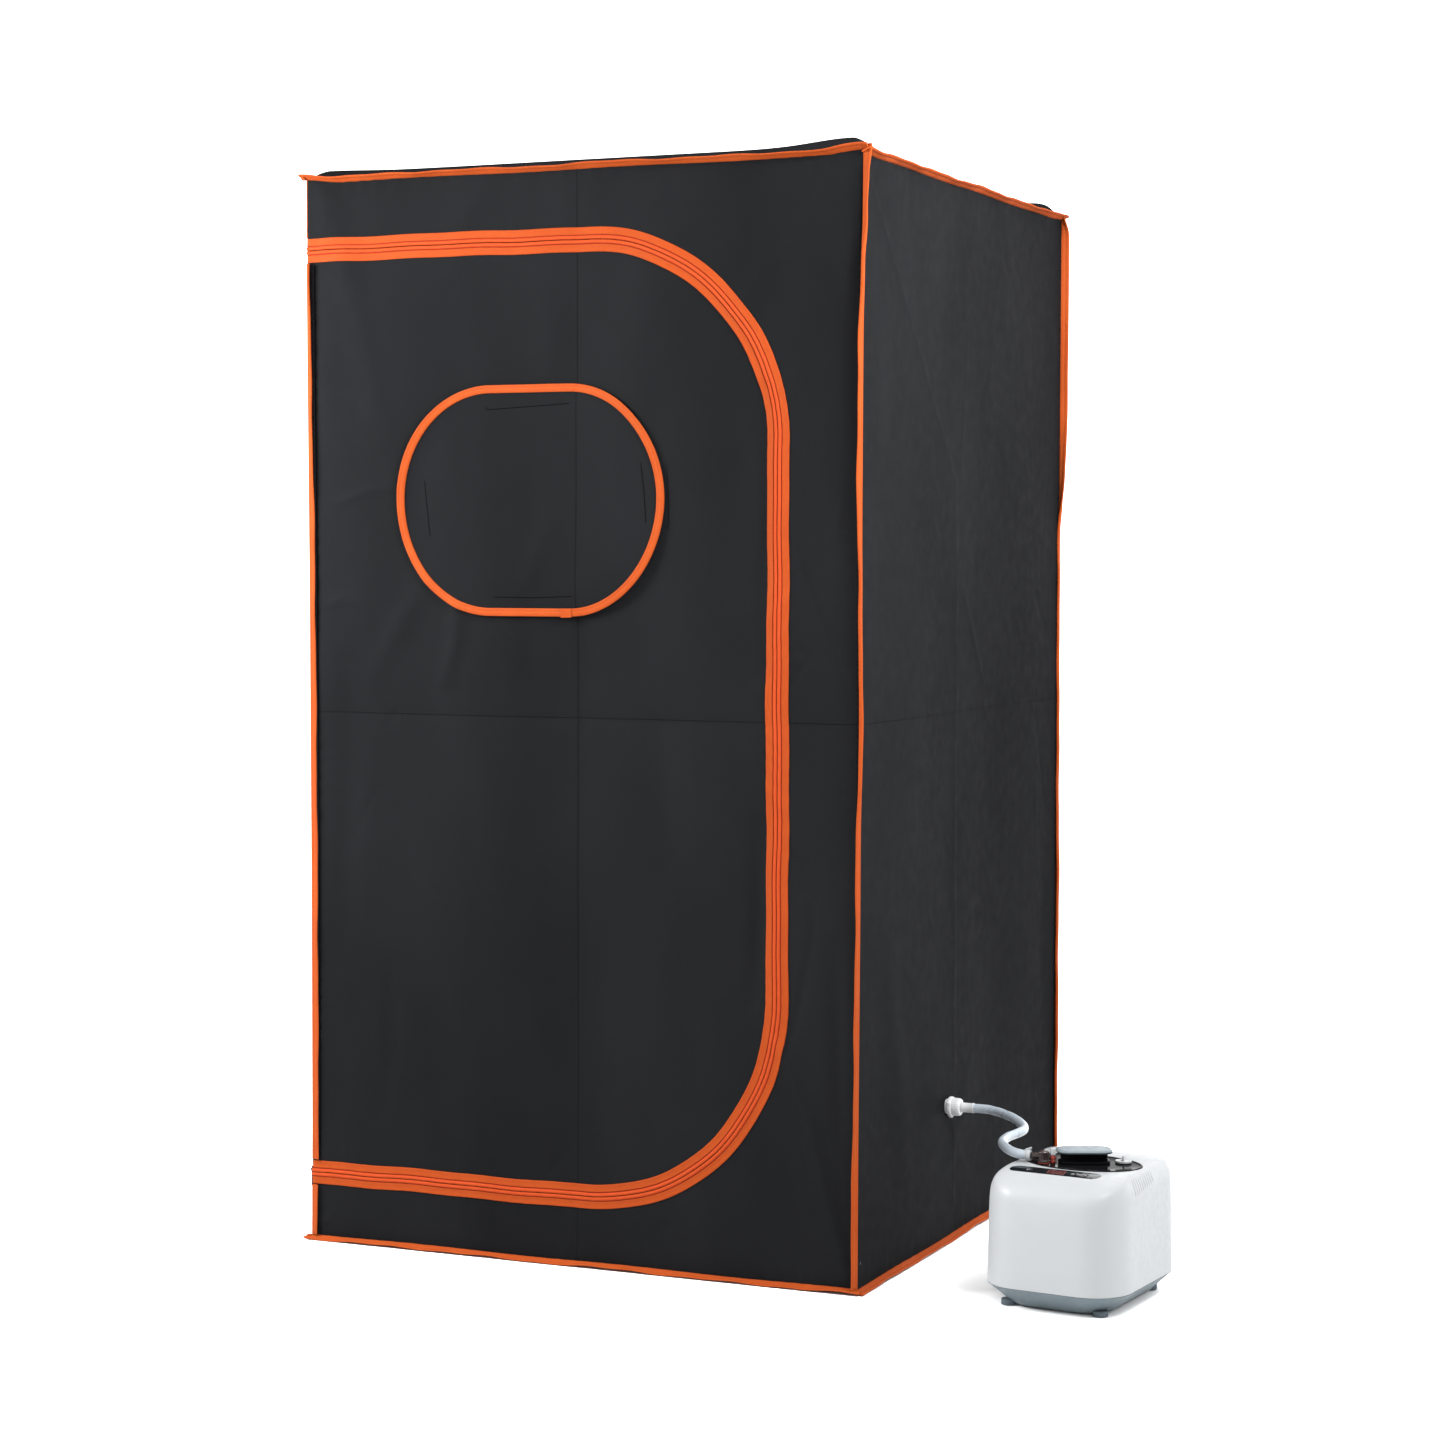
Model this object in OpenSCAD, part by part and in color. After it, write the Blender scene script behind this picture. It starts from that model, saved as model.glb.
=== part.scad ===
// Portable steam sauna: a zipped fabric cabin on a tube frame, a steam hose and a steam generator.
// Millimetres, +Z up. The origin is the middle of the cabin floor, the door faces -Y.

/* [Cabin] */
// Width of the cabin between the side walls
cabin_w = 1000; // [900:10:1100]
// Depth of the cabin between the front and rear walls
cabin_d = 1040; // [940:10:1140]
// Height of the roof seam above the floor
cabin_h = 1800; // [1750:10:1900]
// Thickness of the lined fabric
fabric_t = 3; // [2:0.5:4]
// How far the roof stands above its seam, where it lies over the frame
roof_rise = 16; // [14:1:24]
// Width of the binding that stands out along each seam
fin_w = 15; // [10:1:20]

/* [Door] */
// Distance from the middle of the cabin to the middle of the zip on the right
zip_x = 358; // [340:1:380]
// Height of the middle of the zip along the top of the door
zip_top = 1678; // [1600:1:1700]
// Height of the middle of the zip along the bottom of the door
zip_bottom = 116; // [90:1:140]
// Radius of the zip's two round corners, at the middle of the zip
zip_r = 335; // [250:5:360]
// Width of the closed zip with both tapes
zip_w = 40; // [30:1:50]
// Height of the zip above the fabric
zip_t = 3; // [2:0.5:4]
// Width of the fixed strip between the corner seam and the fold of the door
fold_strip = 20; // [16:1:30]

/* [Window flap] */
// Middle of the window flap, from the middle of the cabin
flap_x = -80; // [-100:1:-60]
// Height of the middle of the window flap
flap_z = 1257; // [1200:1:1300]
// Width of the flap with its binding
flap_w = 483; // [440:1:500]
// Height of the flap with its binding
flap_h = 378; // [360:1:400]
// Radius of the flap's corners
flap_r = 162; // [140:1:170]
// Width of the flap's binding
flap_binding_w = 13; // [10:1:16]
// Distance from the flap's edge to the edge of the window hole under it
window_inset = 62; // [50:1:75]

/* [Frame] */
// Outer diameter of the frame tubes
tube_d = 19; // [16:1:22]
// Outer diameter of the plastic corner connectors
socket_d = 25; // [24:0.5:26]
// Length of each socket from the middle of its connector
socket_l = 45; // [35:1:60]

/* [Steam port] */
// Place of the steam port along the right wall
port_y = -101; // [-140:1:-60]
// Height of the steam port
port_z = 232; // [200:1:260]
// Diameter of the port's steam passage
port_bore_d = 12; // [8:1:14]
// Diameter of the union nut over its lobes
nut_d = 39; // [36:1:44]

/* [Steam generator] */
// Place of the generator's middle, from the middle of the cabin
gen_x = 823; // [823:1:823]
// Place of the generator's middle, from the middle of the cabin
gen_y = -388; // [-388:1:-388]
// Turn of the generator about its upright axis
gen_turn = -6.2; // [-6.2:0.1:-6.2]
// Thickness of the housing's wall
shell_t = 3; // [2:0.5:3.5]
// Angle between the handle's line and the housing's front
lid_turn = 30; // [26:1:34]

/* [Hidden] */
$fn = 48;

charcoal = "#2b2c2e";
orange = "#ee5a22";
silver = "#c3c6c9";
white = "#eef1f4";
grey = "#8d99a3";
black = "#16171a";
steel = "#b9bdc2";

half_w = cabin_w / 2;
half_d = cabin_d / 2;
front_y = -half_d;
corners = [[-1, -1], [1, -1], [1, 1], [-1, 1]];
gap = 0.5;           // between pieces that move apart

// Door: it folds along a line just right of the corner seam, in front of the zip's face
fold_x = -half_w + fold_strip;
pad_t = 1;
flap_t = 3;
flap_back_y = front_y - pad_t - pad_t - gap;

// Frame: tube axes, just inside the walls and just under the roof
frame_x = half_w - fabric_t - socket_d / 2 - gap;
frame_y = half_d - fabric_t - socket_d / 2 - gap;
frame_low = fabric_t + socket_d / 2 + 0.3;
frame_high = cabin_h - 10;
frame_mid = cabin_h / 2;
tube_t = 1;
tube_play = 0.1;     // radial play of a tube in its socket
tube_stop = 12;      // distance from a connector's middle to the end of a tube

// Steam port
port_thread_r = 12.5;
port_end = half_w + 15;
nut_face = half_w + 0.6;
nut_end = half_w + 26;
barb_end = half_w + 49;
barb_r = 8.5;
barb_stem_r = 7.5;
turn_play = 0.1;

// Hose: its route runs from the barb to the elbow's nipple, in the cabin's frame
hose_d = 15;
hose_sides = 12;
hose_route = [
    [549, -101, 232], [566, -101, 232], [584, -102, 232], [602, -106, 231], [620, -114, 231],
    [636, -126, 230], [650, -141, 230], [662, -160, 229], [670, -181, 229], [675, -204, 228],
    [677, -228, 228], [676, -253, 227], [673, -278, 226], [671, -302, 226], [670, -326, 225],
    [672, -348, 224], [678, -369, 224], [688, -387, 223], [701, -400, 223], [716, -408, 223],
    [731, -410, 223], [747, -409, 223]
];

// Generator housing: height, half width, front, back and corner radius of each level
shell_levels = [
    [35, 118.5, -144, 146, 66], [150, 116.5, -142, 144, 65], [172, 116, -140, 143, 64],
    [186, 115, -134, 141, 60], [197, 111, -122, 137, 48], [205, 106, -104, 131, 38],
    [210, 101, -76, 126, 30], [212, 97, -58, 120, 28]
];
base_low = 9;
base_high = 35;
base_inset = 30;
foot_x = 77;
foot_y = 101;
foot_r = 12;

// Lid: an oval plate flush with the top, with everything on one line across it
top_z = 212;
lid_y = 8;
lid_x = 2;
lid_a = 95;
lid_b = 65;
lid_t = 6;
elbow_r = 9.5;
elbow_at = -64;
valve_at = -49.3;
valve_r = 4.2;
cap_at = 62;
cap_r = 13;
neck_r = 9;
outlet_z = 223;
outlet_turn = 14;    // angle between the nipple's line and the housing's front
nipple_l = 20;
spindle_r = 4;
grip_z = 229;
grip_t = 6;

// Tank
tank_w = 196;
tank_d = 170;
tank_low = 52;
tank_high = 196;
tank_t = 1.5;
rim_z = 203;
latch_z = 189;

// Control panel: a strip along the front of the top, which slopes forward
panel_x = -12;
panel_y = -74;
panel_z = 209.6;
panel_tilt = 9;
panel_w = 152;
panel_d = 26;
panel_t = 2.5;
display_at = 2;
display_w = 26;
display_d = 12;
key_r = 5;
key_places = [-45, 30, 51];

// ---- shared shapes ----

// A 2D shape in X and Z made into an upright plate whose outer face is at y
module upright_plate(y, t) {
    translate([0, y + t, 0]) rotate([90, 0, 0]) linear_extrude(t) children();
}

// Rectangle with round corners, centred
module round_rect(w, h, r) {
    square([w, h - 2 * r], center = true);
    square([w - 2 * r, h], center = true);
    for (c = corners) translate([c[0] * (w / 2 - r), c[1] * (h / 2 - r)]) circle(r, $fn = 96);
}

// The door's outline, grown from the middle of the zip and cut off straight at x = left
module d_outline(grow, left) {
    arc_x = zip_x - zip_r;
    translate([left, zip_bottom - grow]) square([arc_x - left, zip_top - zip_bottom + 2 * grow]);
    translate([left, zip_bottom + zip_r])
        square([zip_x + grow - left, zip_top - zip_bottom - 2 * zip_r]);
    for (z = [zip_bottom + zip_r, zip_top - zip_r]) translate([arc_x, z]) circle(zip_r + grow, $fn = 128);
}

// The flap's outline, made smaller by an inset
module flap_outline(inset) {
    translate([flap_x, flap_z]) round_rect(flap_w - 2 * inset, flap_h - 2 * inset, flap_r - inset);
}

// A round bar or tube between two heights, with the hole's radius or 0
module pipe(r, hole_r, low, high) {
    difference() {
        translate([0, 0, low]) cylinder(r = r, h = high - low);
        if (hole_r > 0) translate([0, 0, low - 1]) cylinder(r = hole_r, h = high - low + 2);
    }
}

module frame_tube(low, high) {
    color(steel) pipe(tube_d / 2, tube_d / 2 - tube_t, low, high);
}

// The same round shape laid along X, through the steam port
module port_pipe(r, hole_r, low, high) {
    translate([0, port_y, port_z]) rotate([0, 90, 0]) pipe(r, hole_r, low, high);
}

module in_generator() {
    translate([gen_x, gen_y, 0]) rotate([0, 0, gen_turn]) children();
}

module on_lid(x) {
    in_generator() translate([lid_x, lid_y, 0]) rotate([0, 0, lid_turn]) translate([x, 0, 0]) children();
}

module on_panel(x) {
    in_generator() translate([panel_x + x, panel_y, panel_z]) rotate([panel_tilt, 0, 0]) children();
}

module oval(a, b) {
    translate([lid_x, lid_y]) scale([1, b / a]) circle(a, $fn = 72);
}

// ---- cabin cover ----

module floor_panel() {
    color(charcoal) translate([-half_w, -half_d, 0]) cube([cabin_w, cabin_d, fabric_t]);
}

wall_h = cabin_h - 2 * fabric_t;

module left_wall() {
    color(charcoal) translate([-half_w, -half_d, fabric_t]) cube([fabric_t, cabin_d, wall_h]);
}

module right_wall() {
    color(charcoal) difference() {
        translate([half_w - fabric_t, -half_d, fabric_t]) cube([fabric_t, cabin_d, wall_h]);
        port_pipe(port_thread_r + gap, 0, half_w - 2 * fabric_t, half_w + fabric_t);
    }
}

module rear_wall() {
    color(charcoal) translate([-half_w + fabric_t, half_d - fabric_t, fabric_t])
        cube([cabin_w - 2 * fabric_t, fabric_t, wall_h]);
}

module front_panel() {
    color(charcoal) upright_plate(front_y, fabric_t) difference() {
        translate([-half_w + fabric_t, fabric_t]) square([cabin_w - 2 * fabric_t, wall_h]);
        d_outline(gap, fold_x);
    }
}

// The roof rises from its seam to the frame like a shallow lid
module roof_shape(inset, low) {
    rise_run = 25;
    hull() {
        for (step = [[0, low], [rise_run, cabin_h + roof_rise - inset]])
            translate([0, 0, step[1]]) linear_extrude(0.01)
                square([cabin_w - 2 * inset - 2 * step[0], cabin_d - 2 * inset - 2 * step[0]], center = true);
    }
}

module roof_panel() {
    color(charcoal) difference() {
        union() {
            roof_shape(0, cabin_h);
            translate([-half_w, -half_d, cabin_h - fabric_t]) cube([cabin_w, cabin_d, fabric_t + 0.01]);
        }
        roof_shape(fabric_t, cabin_h - fabric_t - 0.02);
    }
}

// A seam binding: a flat strip standing out at an angle from the edge at [x, z], along length
module fin(length) {
    translate([-fabric_t / 2 + 0.5, 0, 0]) cube([fabric_t - 1, fin_w, length]);
}

// The left front seam stops where the two ends of the zip pass round the corner
module corner_bindings() {
    low = 18;
    high = cabin_h - 7;
    zip_ends = [zip_bottom, zip_top];
    full = [[low, high]];
    parted = [
        [low, zip_ends[0] - zip_w / 2 - 2], [zip_ends[0] + zip_w / 2 + 2, zip_ends[1] - zip_w / 2 - 2],
        [zip_ends[1] + zip_w / 2 + 2, high]
    ];
    color(orange) for (c = corners)
        for (span = c == corners[0] ? parted : full)
            translate([c[0] * (half_w + 1), c[1] * (half_d + 1), span[0]])
                rotate([0, 0, atan2(-c[0], c[1])]) fin(span[1] - span[0]);
}

// Four strips round the cabin that start at height z and stand out and up from the walls
module edge_bindings(z) {
    tilt = 50;
    color(orange) for (side = [0:3]) {
        across = side % 2 == 0 ? half_d : half_w;
        along = side % 2 == 0 ? cabin_w : cabin_d;
        rotate([0, 0, side * 90]) translate([-along / 2 + 2, -across - 1.2, z])
            rotate([180 - tilt, 0, 0]) rotate([0, 90, 0]) fin(along - 4);
    }
}

module roof_bindings() { edge_bindings(cabin_h - 5); }
module floor_bindings() { edge_bindings(4); }

// ---- door and zip ----

// The fixed half of the zip, with both ends carried round the left front corner
module zip_frame_tape() {
    tail = 25;
    color(orange) {
        upright_plate(front_y - zip_t, zip_t) difference() {
            d_outline(zip_w / 2, -half_w);
            d_outline(-zip_w / 2, -half_w - 1);
            d_outline(gap, fold_x);
        }
        for (z = [zip_bottom, zip_top]) translate([-half_w - zip_t, front_y - zip_t, z - zip_w / 2])
            cube([zip_t, tail, zip_w]);
    }
}

module zip_door_tape() {
    color(orange) upright_plate(front_y - zip_t, zip_t) difference() {
        d_outline(-gap, fold_x + gap);
        d_outline(-zip_w / 2, fold_x);
    }
}

slider_x = -half_w - zip_t - 0.3;
slider_y = front_y + 9;
slider_w = 6.5;
slider_l = 16;
slider_h = 14;
slider_plate = 3;
pull_pin_r = 1;
pull_eye_r = 2.2;

// Parked at the end of the zip, just round the corner, with a crossbar for the pull
module zip_slider() {
    post = 2;
    color(black) translate([slider_x - slider_w, slider_y, zip_bottom]) {
        translate([slider_w - slider_plate, 0, -slider_h / 2]) cube([slider_plate, slider_l, slider_h]);
        for (y = [3, slider_l - 3 - post]) translate([0, y, -pull_eye_r])
            cube([slider_w - slider_plate + 0.1, post, 2 * pull_eye_r]);
        translate([pull_pin_r, 4, 0]) rotate([-90, 0, 0]) cylinder(r = pull_pin_r, h = slider_l - 8);
    }
}

module zip_pull() {
    pull_l = 28;
    color(black) translate([slider_x - slider_w + pull_pin_r, slider_y + slider_l / 2, zip_bottom])
        rotate([90, 0, 0]) linear_extrude(5.4, center = true) difference() {
            union() {
                circle(pull_eye_r);
                translate([-1, -pull_l]) square([2, pull_l]);
            }
            circle(pull_pin_r + turn_play);
        }
}

module door_panel() {
    color(charcoal) upright_plate(front_y, fabric_t) difference() {
        d_outline(-gap, fold_x + gap);
        flap_outline(window_inset);
    }
}

module window_pane() {
    overlap = 15;
    color([0.8, 0.85, 0.9, 0.4]) upright_plate(front_y + fabric_t, 1) flap_outline(window_inset - overlap);
}

// Four pads: top, bottom, left and right, at the same places on the door and on the flap
pad_w = 18;
pad_long = 150;
pad_short = 90;
pad_inset = 26;

module pads(y) {
    upright_plate(y, pad_t) translate([flap_x, flap_z]) {
        for (side = [-1, 1]) {
            translate([0, side * (flap_h / 2 - pad_inset)]) square([pad_long, pad_w], center = true);
            translate([side * (flap_w / 2 - pad_inset), 0]) square([pad_w, pad_short], center = true);
        }
    }
}

module door_loop_pads() { color(black) pads(front_y - pad_t); }
module flap_hook_pads() { color(black) pads(flap_back_y); }

module window_flap() {
    color(charcoal) upright_plate(flap_back_y - flap_t, flap_t) flap_outline(flap_binding_w);
}

module flap_binding() {
    color(orange) upright_plate(flap_back_y - flap_t - 0.5, flap_t + 1) difference() {
        flap_outline(0);
        flap_outline(flap_binding_w);
    }
}

// ---- frame ----

module at_frame_corners() {
    for (c = corners) translate([c[0] * frame_x, c[1] * frame_y, 0]) children();
}

module lower_uprights() {
    at_frame_corners() frame_tube(frame_low + tube_stop, frame_mid - gap);
}

module upper_uprights() {
    at_frame_corners() frame_tube(frame_mid + gap, frame_high - tube_stop);
}

module upright_couplers() {
    coupler_l = 120;
    color(black) at_frame_corners()
        pipe(tube_d / 2 + 2.5, tube_d / 2 + tube_play, frame_mid - coupler_l / 2, frame_mid + coupler_l / 2);
}

// Four rods round the frame at height z
module rods(z) {
    for (side = [-1, 1]) {
        translate([0, side * frame_y, z]) rotate([0, 90, 0])
            frame_tube(-frame_x + tube_stop, frame_x - tube_stop);
        translate([side * frame_x, 0, z]) rotate([-90, 0, 0])
            frame_tube(-frame_y + tube_stop, frame_y - tube_stop);
    }
}

module roof_rods() { rods(frame_high); }
module floor_rods() { rods(frame_low); }

// A three-way corner, with its sockets along the rods and up or down the upright
module connector(c, up) {
    arms = [[0, 90 * -c[0], 0], [90 * c[1], 0, 0], [up > 0 ? 0 : 180, 0, 0]];
    color(black) difference() {
        union() {
            sphere(socket_d / 2);
            for (arm = arms) rotate(arm) cylinder(d = socket_d, h = socket_l);
        }
        for (arm = arms) rotate(arm) translate([0, 0, tube_stop - gap])
            cylinder(r = tube_d / 2 + tube_play, h = socket_l);
    }
}

module connectors(z, up) {
    for (c = corners) translate([c[0] * frame_x, c[1] * frame_y, z]) connector(c, up);
}

module roof_connectors() { connectors(frame_high, -1); }
module floor_connectors() { connectors(frame_low, 1); }

// ---- steam port and hose ----

inner_flange = half_w - fabric_t - 2;

module port_bushing() {
    color(white) difference() {
        union() {
            port_pipe(port_thread_r, 0, half_w - 30, port_end);
            port_pipe(20, 0, inner_flange - 3, inner_flange);
        }
        port_pipe(port_bore_d / 2, 0, half_w - 31, port_end + 1);
    }
}

module port_washer() {
    color(black) port_pipe(19, port_thread_r + turn_play, inner_flange, half_w - fabric_t);
}

// A union nut with lobes, which turns on the port's thread and on the barb's stem
module port_nut() {
    lobes = 8;
    lobe_r = 4;
    web = nut_end - 6.6;
    color(white) difference() {
        union() {
            port_pipe(nut_d / 2 - lobe_r / 2, 0, nut_face, nut_end);
            for (i = [0:lobes - 1]) translate([0, port_y, port_z]) rotate([i * 360 / lobes, 0, 0])
                translate([nut_face, 0, nut_d / 2 - lobe_r]) rotate([0, 90, 0])
                    cylinder(r = lobe_r, h = nut_end - nut_face - 4);
        }
        port_pipe(port_thread_r + turn_play, 0, nut_face - 1, web);
        port_pipe(barb_stem_r + turn_play, 0, web - 1, nut_end + 1);
    }
}

module hose_barb() {
    color(white) difference() {
        union() {
            port_pipe(port_thread_r - 1, 0, port_end + 0.2, nut_end - 7);
            port_pipe(barb_stem_r, 0, nut_end - 8, nut_end + 1);
            port_pipe(barb_r, 0, nut_end + gap, barb_end);
        }
        port_pipe(4.5, 0, port_end - 1, barb_end + 1);
    }
}

function unit(v) = v / norm(v);
function heading(i) = unit(
    hose_route[min(i + 1, len(hose_route) - 1)] - hose_route[max(i - 1, 0)]);
function ring(i) = let (
    along = heading(i), side = unit(cross(along, [0, 0, 1])), above = cross(side, along)
) [for (k = [0:hose_sides - 1]) hose_route[i]
    + hose_d / 2 * (cos(k * 360 / hose_sides) * side + sin(k * 360 / hose_sides) * above)];

// One closed tube swept along the route
module steam_hose() {
    rings = len(hose_route);
    points = [for (i = [0:rings - 1]) each ring(i)];
    sides = [for (i = [0:rings - 2], k = [0:hose_sides - 1]) let (
        n = (k + 1) % hose_sides, a = i * hose_sides, b = a + hose_sides
    ) [a + k, a + n, b + n, b + k]];
    first = [for (k = [hose_sides - 1:-1:0]) k];
    last = [for (k = [0:hose_sides - 1]) (rings - 1) * hose_sides + k];
    color([0.9, 0.94, 0.97, 0.7]) polyhedron(points, concat([first], sides, [last]));
}

// ---- steam generator: housing ----

module round_block(level, inset) {
    w = 2 * (level[1] - inset);
    d = level[3] - level[2] - 2 * inset;
    r = level[4] - inset;
    translate([0, (level[2] + level[3]) / 2, level[0]])
        for (c = corners) translate([c[0] * (w / 2 - r), c[1] * (d / 2 - r), 0]) cylinder(r = r, h = 0.01, $fn = 32);
}

module shell_shape(inset, drop) {
    hull() for (level = shell_levels) translate([0, 0, -drop]) round_block(level, inset);
}

module pill(w, d) {
    for (side = [-1, 1]) translate([side * (w - d) / 2, 0]) circle(d / 2);
    square([w - d, d], center = true);
}

module steamer_shell() {
    inlet_z = 66;
    color(white) difference() {
        in_generator() difference() {
            shell_shape(0, 0);
            shell_shape(shell_t, shell_t);
            translate([0, 0, base_high - 10]) linear_extrude(10.01) square(400, center = true);
            translate([0, 0, top_z - 20]) linear_extrude(30) oval(lid_a + gap, lid_b + gap);
            translate([0, 150, inlet_z]) cube([29, 20, 21], center = true);
        }
        on_panel(0) translate([0, 0, -8]) linear_extrude(12) pill(panel_w + 2 * gap, panel_d + 2 * gap);
    }
}

// A shallow tray under the housing, drawn in towards the feet
module base_shape(inset) {
    low = [base_low + inset, shell_levels[0][1] - base_inset, shell_levels[0][2] + base_inset,
        shell_levels[0][3] - base_inset, shell_levels[0][4] - base_inset / 2];
    hull() {
        round_block(low, inset);
        round_block(shell_levels[0], inset);
    }
}

module steamer_base() {
    color(grey) in_generator() difference() {
        base_shape(0);
        base_shape(shell_t);
        translate([0, 0, base_high - 0.3]) linear_extrude(1) square(400, center = true);
        for (c = corners) translate([c[0] * 60, c[1] * 84, 0]) cylinder(r = 2.1, h = base_high);
    }
}

module steamer_feet() {
    color("#5f6870") in_generator() for (c = corners) translate([c[0] * foot_x, c[1] * foot_y, 0])
        cylinder(r = foot_r, h = base_low);
}

module base_screws() {
    color(steel) in_generator() for (c = corners) translate([c[0] * 60, c[1] * 84, base_low - 2]) {
        cylinder(r = 3.5, h = 2);
        cylinder(r = 2, h = 16);
    }
}

module mains_inlet() {
    color(black) in_generator() translate([0, 138, 66]) difference() {
        cube([28, 20, 20], center = true);
        translate([0, 6, 0]) cube([22, 16, 13], center = true);
    }
}

// ---- steam generator: tank and heater ----

module tank_block(inset, low, high) {
    translate([0, lid_y, low]) linear_extrude(high - low)
        round_rect(tank_w - 2 * inset, tank_d - 2 * inset, 45 - inset);
}

module water_tank() {
    mouth_a = 84;
    mouth_b = 54;
    color(steel) in_generator() difference() {
        union() {
            tank_block(0, tank_low, tank_high);
            translate([0, 0, tank_high - 1]) linear_extrude(rim_z - tank_high + 1)
                oval(mouth_a + tank_t, mouth_b + tank_t);
        }
        tank_block(tank_t, tank_low + tank_t, tank_high - tank_t);
        translate([0, 0, tank_high - 10]) linear_extrude(30) oval(mouth_a, mouth_b);
    }
}

module tank_seal() {
    color(black) in_generator() translate([0, 0, rim_z]) linear_extrude(top_z - lid_t - rim_z) difference() {
        oval(lid_a - 4, lid_b - 4);
        oval(lid_a - 14, lid_b - 14);
    }
}

module heater_plate() {
    color(silver) in_generator() translate([0, lid_y, tank_low - 8]) cylinder(r = 62, h = 8);
}

module heater_coil() {
    color(steel) in_generator() translate([0, lid_y, tank_low - 12]) {
        rotate_extrude() translate([46, 0]) circle(4);
        for (x = [-10, 10]) translate([x, -45, -10]) cylinder(r = 3, h = 8);
    }
}

module thermal_cutout() {
    color(black) in_generator() translate([0, lid_y, tank_low - 18]) {
        cylinder(r = 12, h = 10);
        for (x = [-5, 5]) translate([x - 1.5, -0.5, -7]) cube([3, 1, 7.5]);
    }
}

// ---- steam generator: lid ----

module lid_plate() {
    color(black) difference() {
        in_generator() translate([0, 0, top_z - lid_t]) linear_extrude(lid_t) oval(lid_a, lid_b);
        on_lid(0) pipe(spindle_r + turn_play, 0, top_z - 10, top_z + 10);
        on_lid(elbow_at) pipe(7, 0, top_z - 10, top_z + 10);
        on_lid(valve_at) pipe(2.5, 0, top_z - 10, top_z + 10);
        on_lid(cap_at) pipe(neck_r, 0, top_z - 10, top_z + 10);
    }
}

// A post with a sloped top and the hose nipple on its side
module steam_elbow() {
    nipple_r = 5.5;
    post_top = outlet_z + 6;
    color([0.35, 0.22, 0.2, 0.7]) difference() {
        on_lid(elbow_at) {
            pipe(elbow_r, 0, top_z + 1, post_top);
            translate([0, 0, post_top]) cylinder(r1 = elbow_r, r2 = elbow_r - 4, h = 3.5);
            pipe(nipple_r, 0, top_z - lid_t + 0.3, top_z + 2);
            rotate([0, 0, outlet_turn - lid_turn]) translate([0, 0, outlet_z]) rotate([0, -90, 0])
                cylinder(r = nipple_r, h = nipple_l);
        }
        on_lid(elbow_at) {
            pipe(4, 0, top_z - 10, outlet_z + 3.8);
            rotate([0, 0, outlet_turn - lid_turn]) translate([0, 0, outlet_z]) rotate([0, -90, 0])
                cylinder(r = 3.3, h = nipple_l + 1);
        }
    }
}

module elbow_seal() {
    color("#c23a22") on_lid(elbow_at) {
        pipe(7, 5.5 + turn_play, top_z - lid_t, top_z);
        pipe(elbow_r, 5.5 + turn_play, top_z, top_z + 1);
    }
}

// A spring clip round the end of the hose, with two ears to squeeze
module outlet_clip() {
    ring_r = hose_d / 2 + 0.6;
    color(white) on_lid(elbow_at) rotate([0, 0, outlet_turn - lid_turn]) translate([-nipple_l - 1, 0, outlet_z])
        rotate([0, -90, 0]) {
            difference() {
                cylinder(r = ring_r + 1.2, h = 7);
                translate([0, 0, -1]) cylinder(r = ring_r, h = 9);
            }
            for (side = [-1, 1]) translate([ring_r, side * 3 - 0.8, 0]) cube([6, 1.6, 7]);
        }
}

module valve_seat() {
    color("#c23a22") on_lid(valve_at) {
        pipe(valve_r, 1.6, top_z, top_z + 12);
        pipe(2.4, 1.6, top_z - lid_t, top_z);
    }
}

// The weight that steam lifts when the pressure is too high
module valve_cap() {
    color(white) on_lid(valve_at) {
        pipe(valve_r, 0, top_z + 12.1, top_z + 23);
        pipe(1.5, 0, top_z - 3, top_z + 12.1);
    }
}

module fill_cap() {
    color(white) on_lid(cap_at) {
        pipe(cap_r, 0, top_z + 0.3, top_z + 4);
        pipe(neck_r - turn_play, 0, top_z - lid_t + 0.3, top_z + 0.3);
        pipe(1.6, 0, top_z + 4, top_z + 11);
        translate([-6, -1.2, top_z + 7]) cube([12, 2.4, 4]);
    }
}

module lid_handle() {
    color(black) on_lid(0) difference() {
        union() {
            translate([0, 0, top_z + gap]) linear_extrude(4) round_rect(82, 40, 18);
            translate([0, 0, top_z + 4]) linear_extrude(grip_z - top_z - 4) round_rect(74, 24, 8);
        }
        pipe(spindle_r, 0, top_z - 1, grip_z + 1);
    }
}

module handle_grip() {
    color(grey) on_lid(0) translate([0, 0, grip_z]) linear_extrude(grip_t) round_rect(88, 50, 20);
}

module handle_spindle() {
    color(steel) on_lid(0) pipe(spindle_r, 0, latch_z, grip_z);
}

// At rest it reaches under the tank's oval mouth; in line with the lid it comes out
module latch_bar() {
    color(steel) on_lid(0) translate([0, 0, latch_z - 3]) linear_extrude(3) round_rect(160, 14, 6);
}

// ---- steam generator: controls ----

module control_panel() {
    color(black) difference() {
        on_panel(0) translate([0, 0, -panel_t]) linear_extrude(panel_t) pill(panel_w, panel_d);
        for (x = key_places) on_panel(x) pipe(key_r + turn_play, 0, -9, 9);
        on_panel(display_at) cube([display_w, display_d, 20], center = true);
    }
}

// A round key with a stem that reaches the board's switch
module panel_key(i) {
    color("#2d3036") on_panel(key_places[i]) {
        pipe(key_r, 0, -panel_t, 0.4);
        pipe(1.5, 0, -5, -panel_t);
    }
}

module power_button() { panel_key(0); }
module timer_button() { panel_key(1); }
module heat_button() { panel_key(2); }

module display_module() {
    color("#7a1512") on_panel(display_at) translate([0, 0, -3.2])
        cube([display_w - 2 * turn_play, display_d - 2 * turn_play, 6], center = true);
}

module control_board() {
    color("#1e6b3a") on_panel(0) translate([0, 0, -7.3]) cube([126, 18, 1.6], center = true);
}

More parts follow.
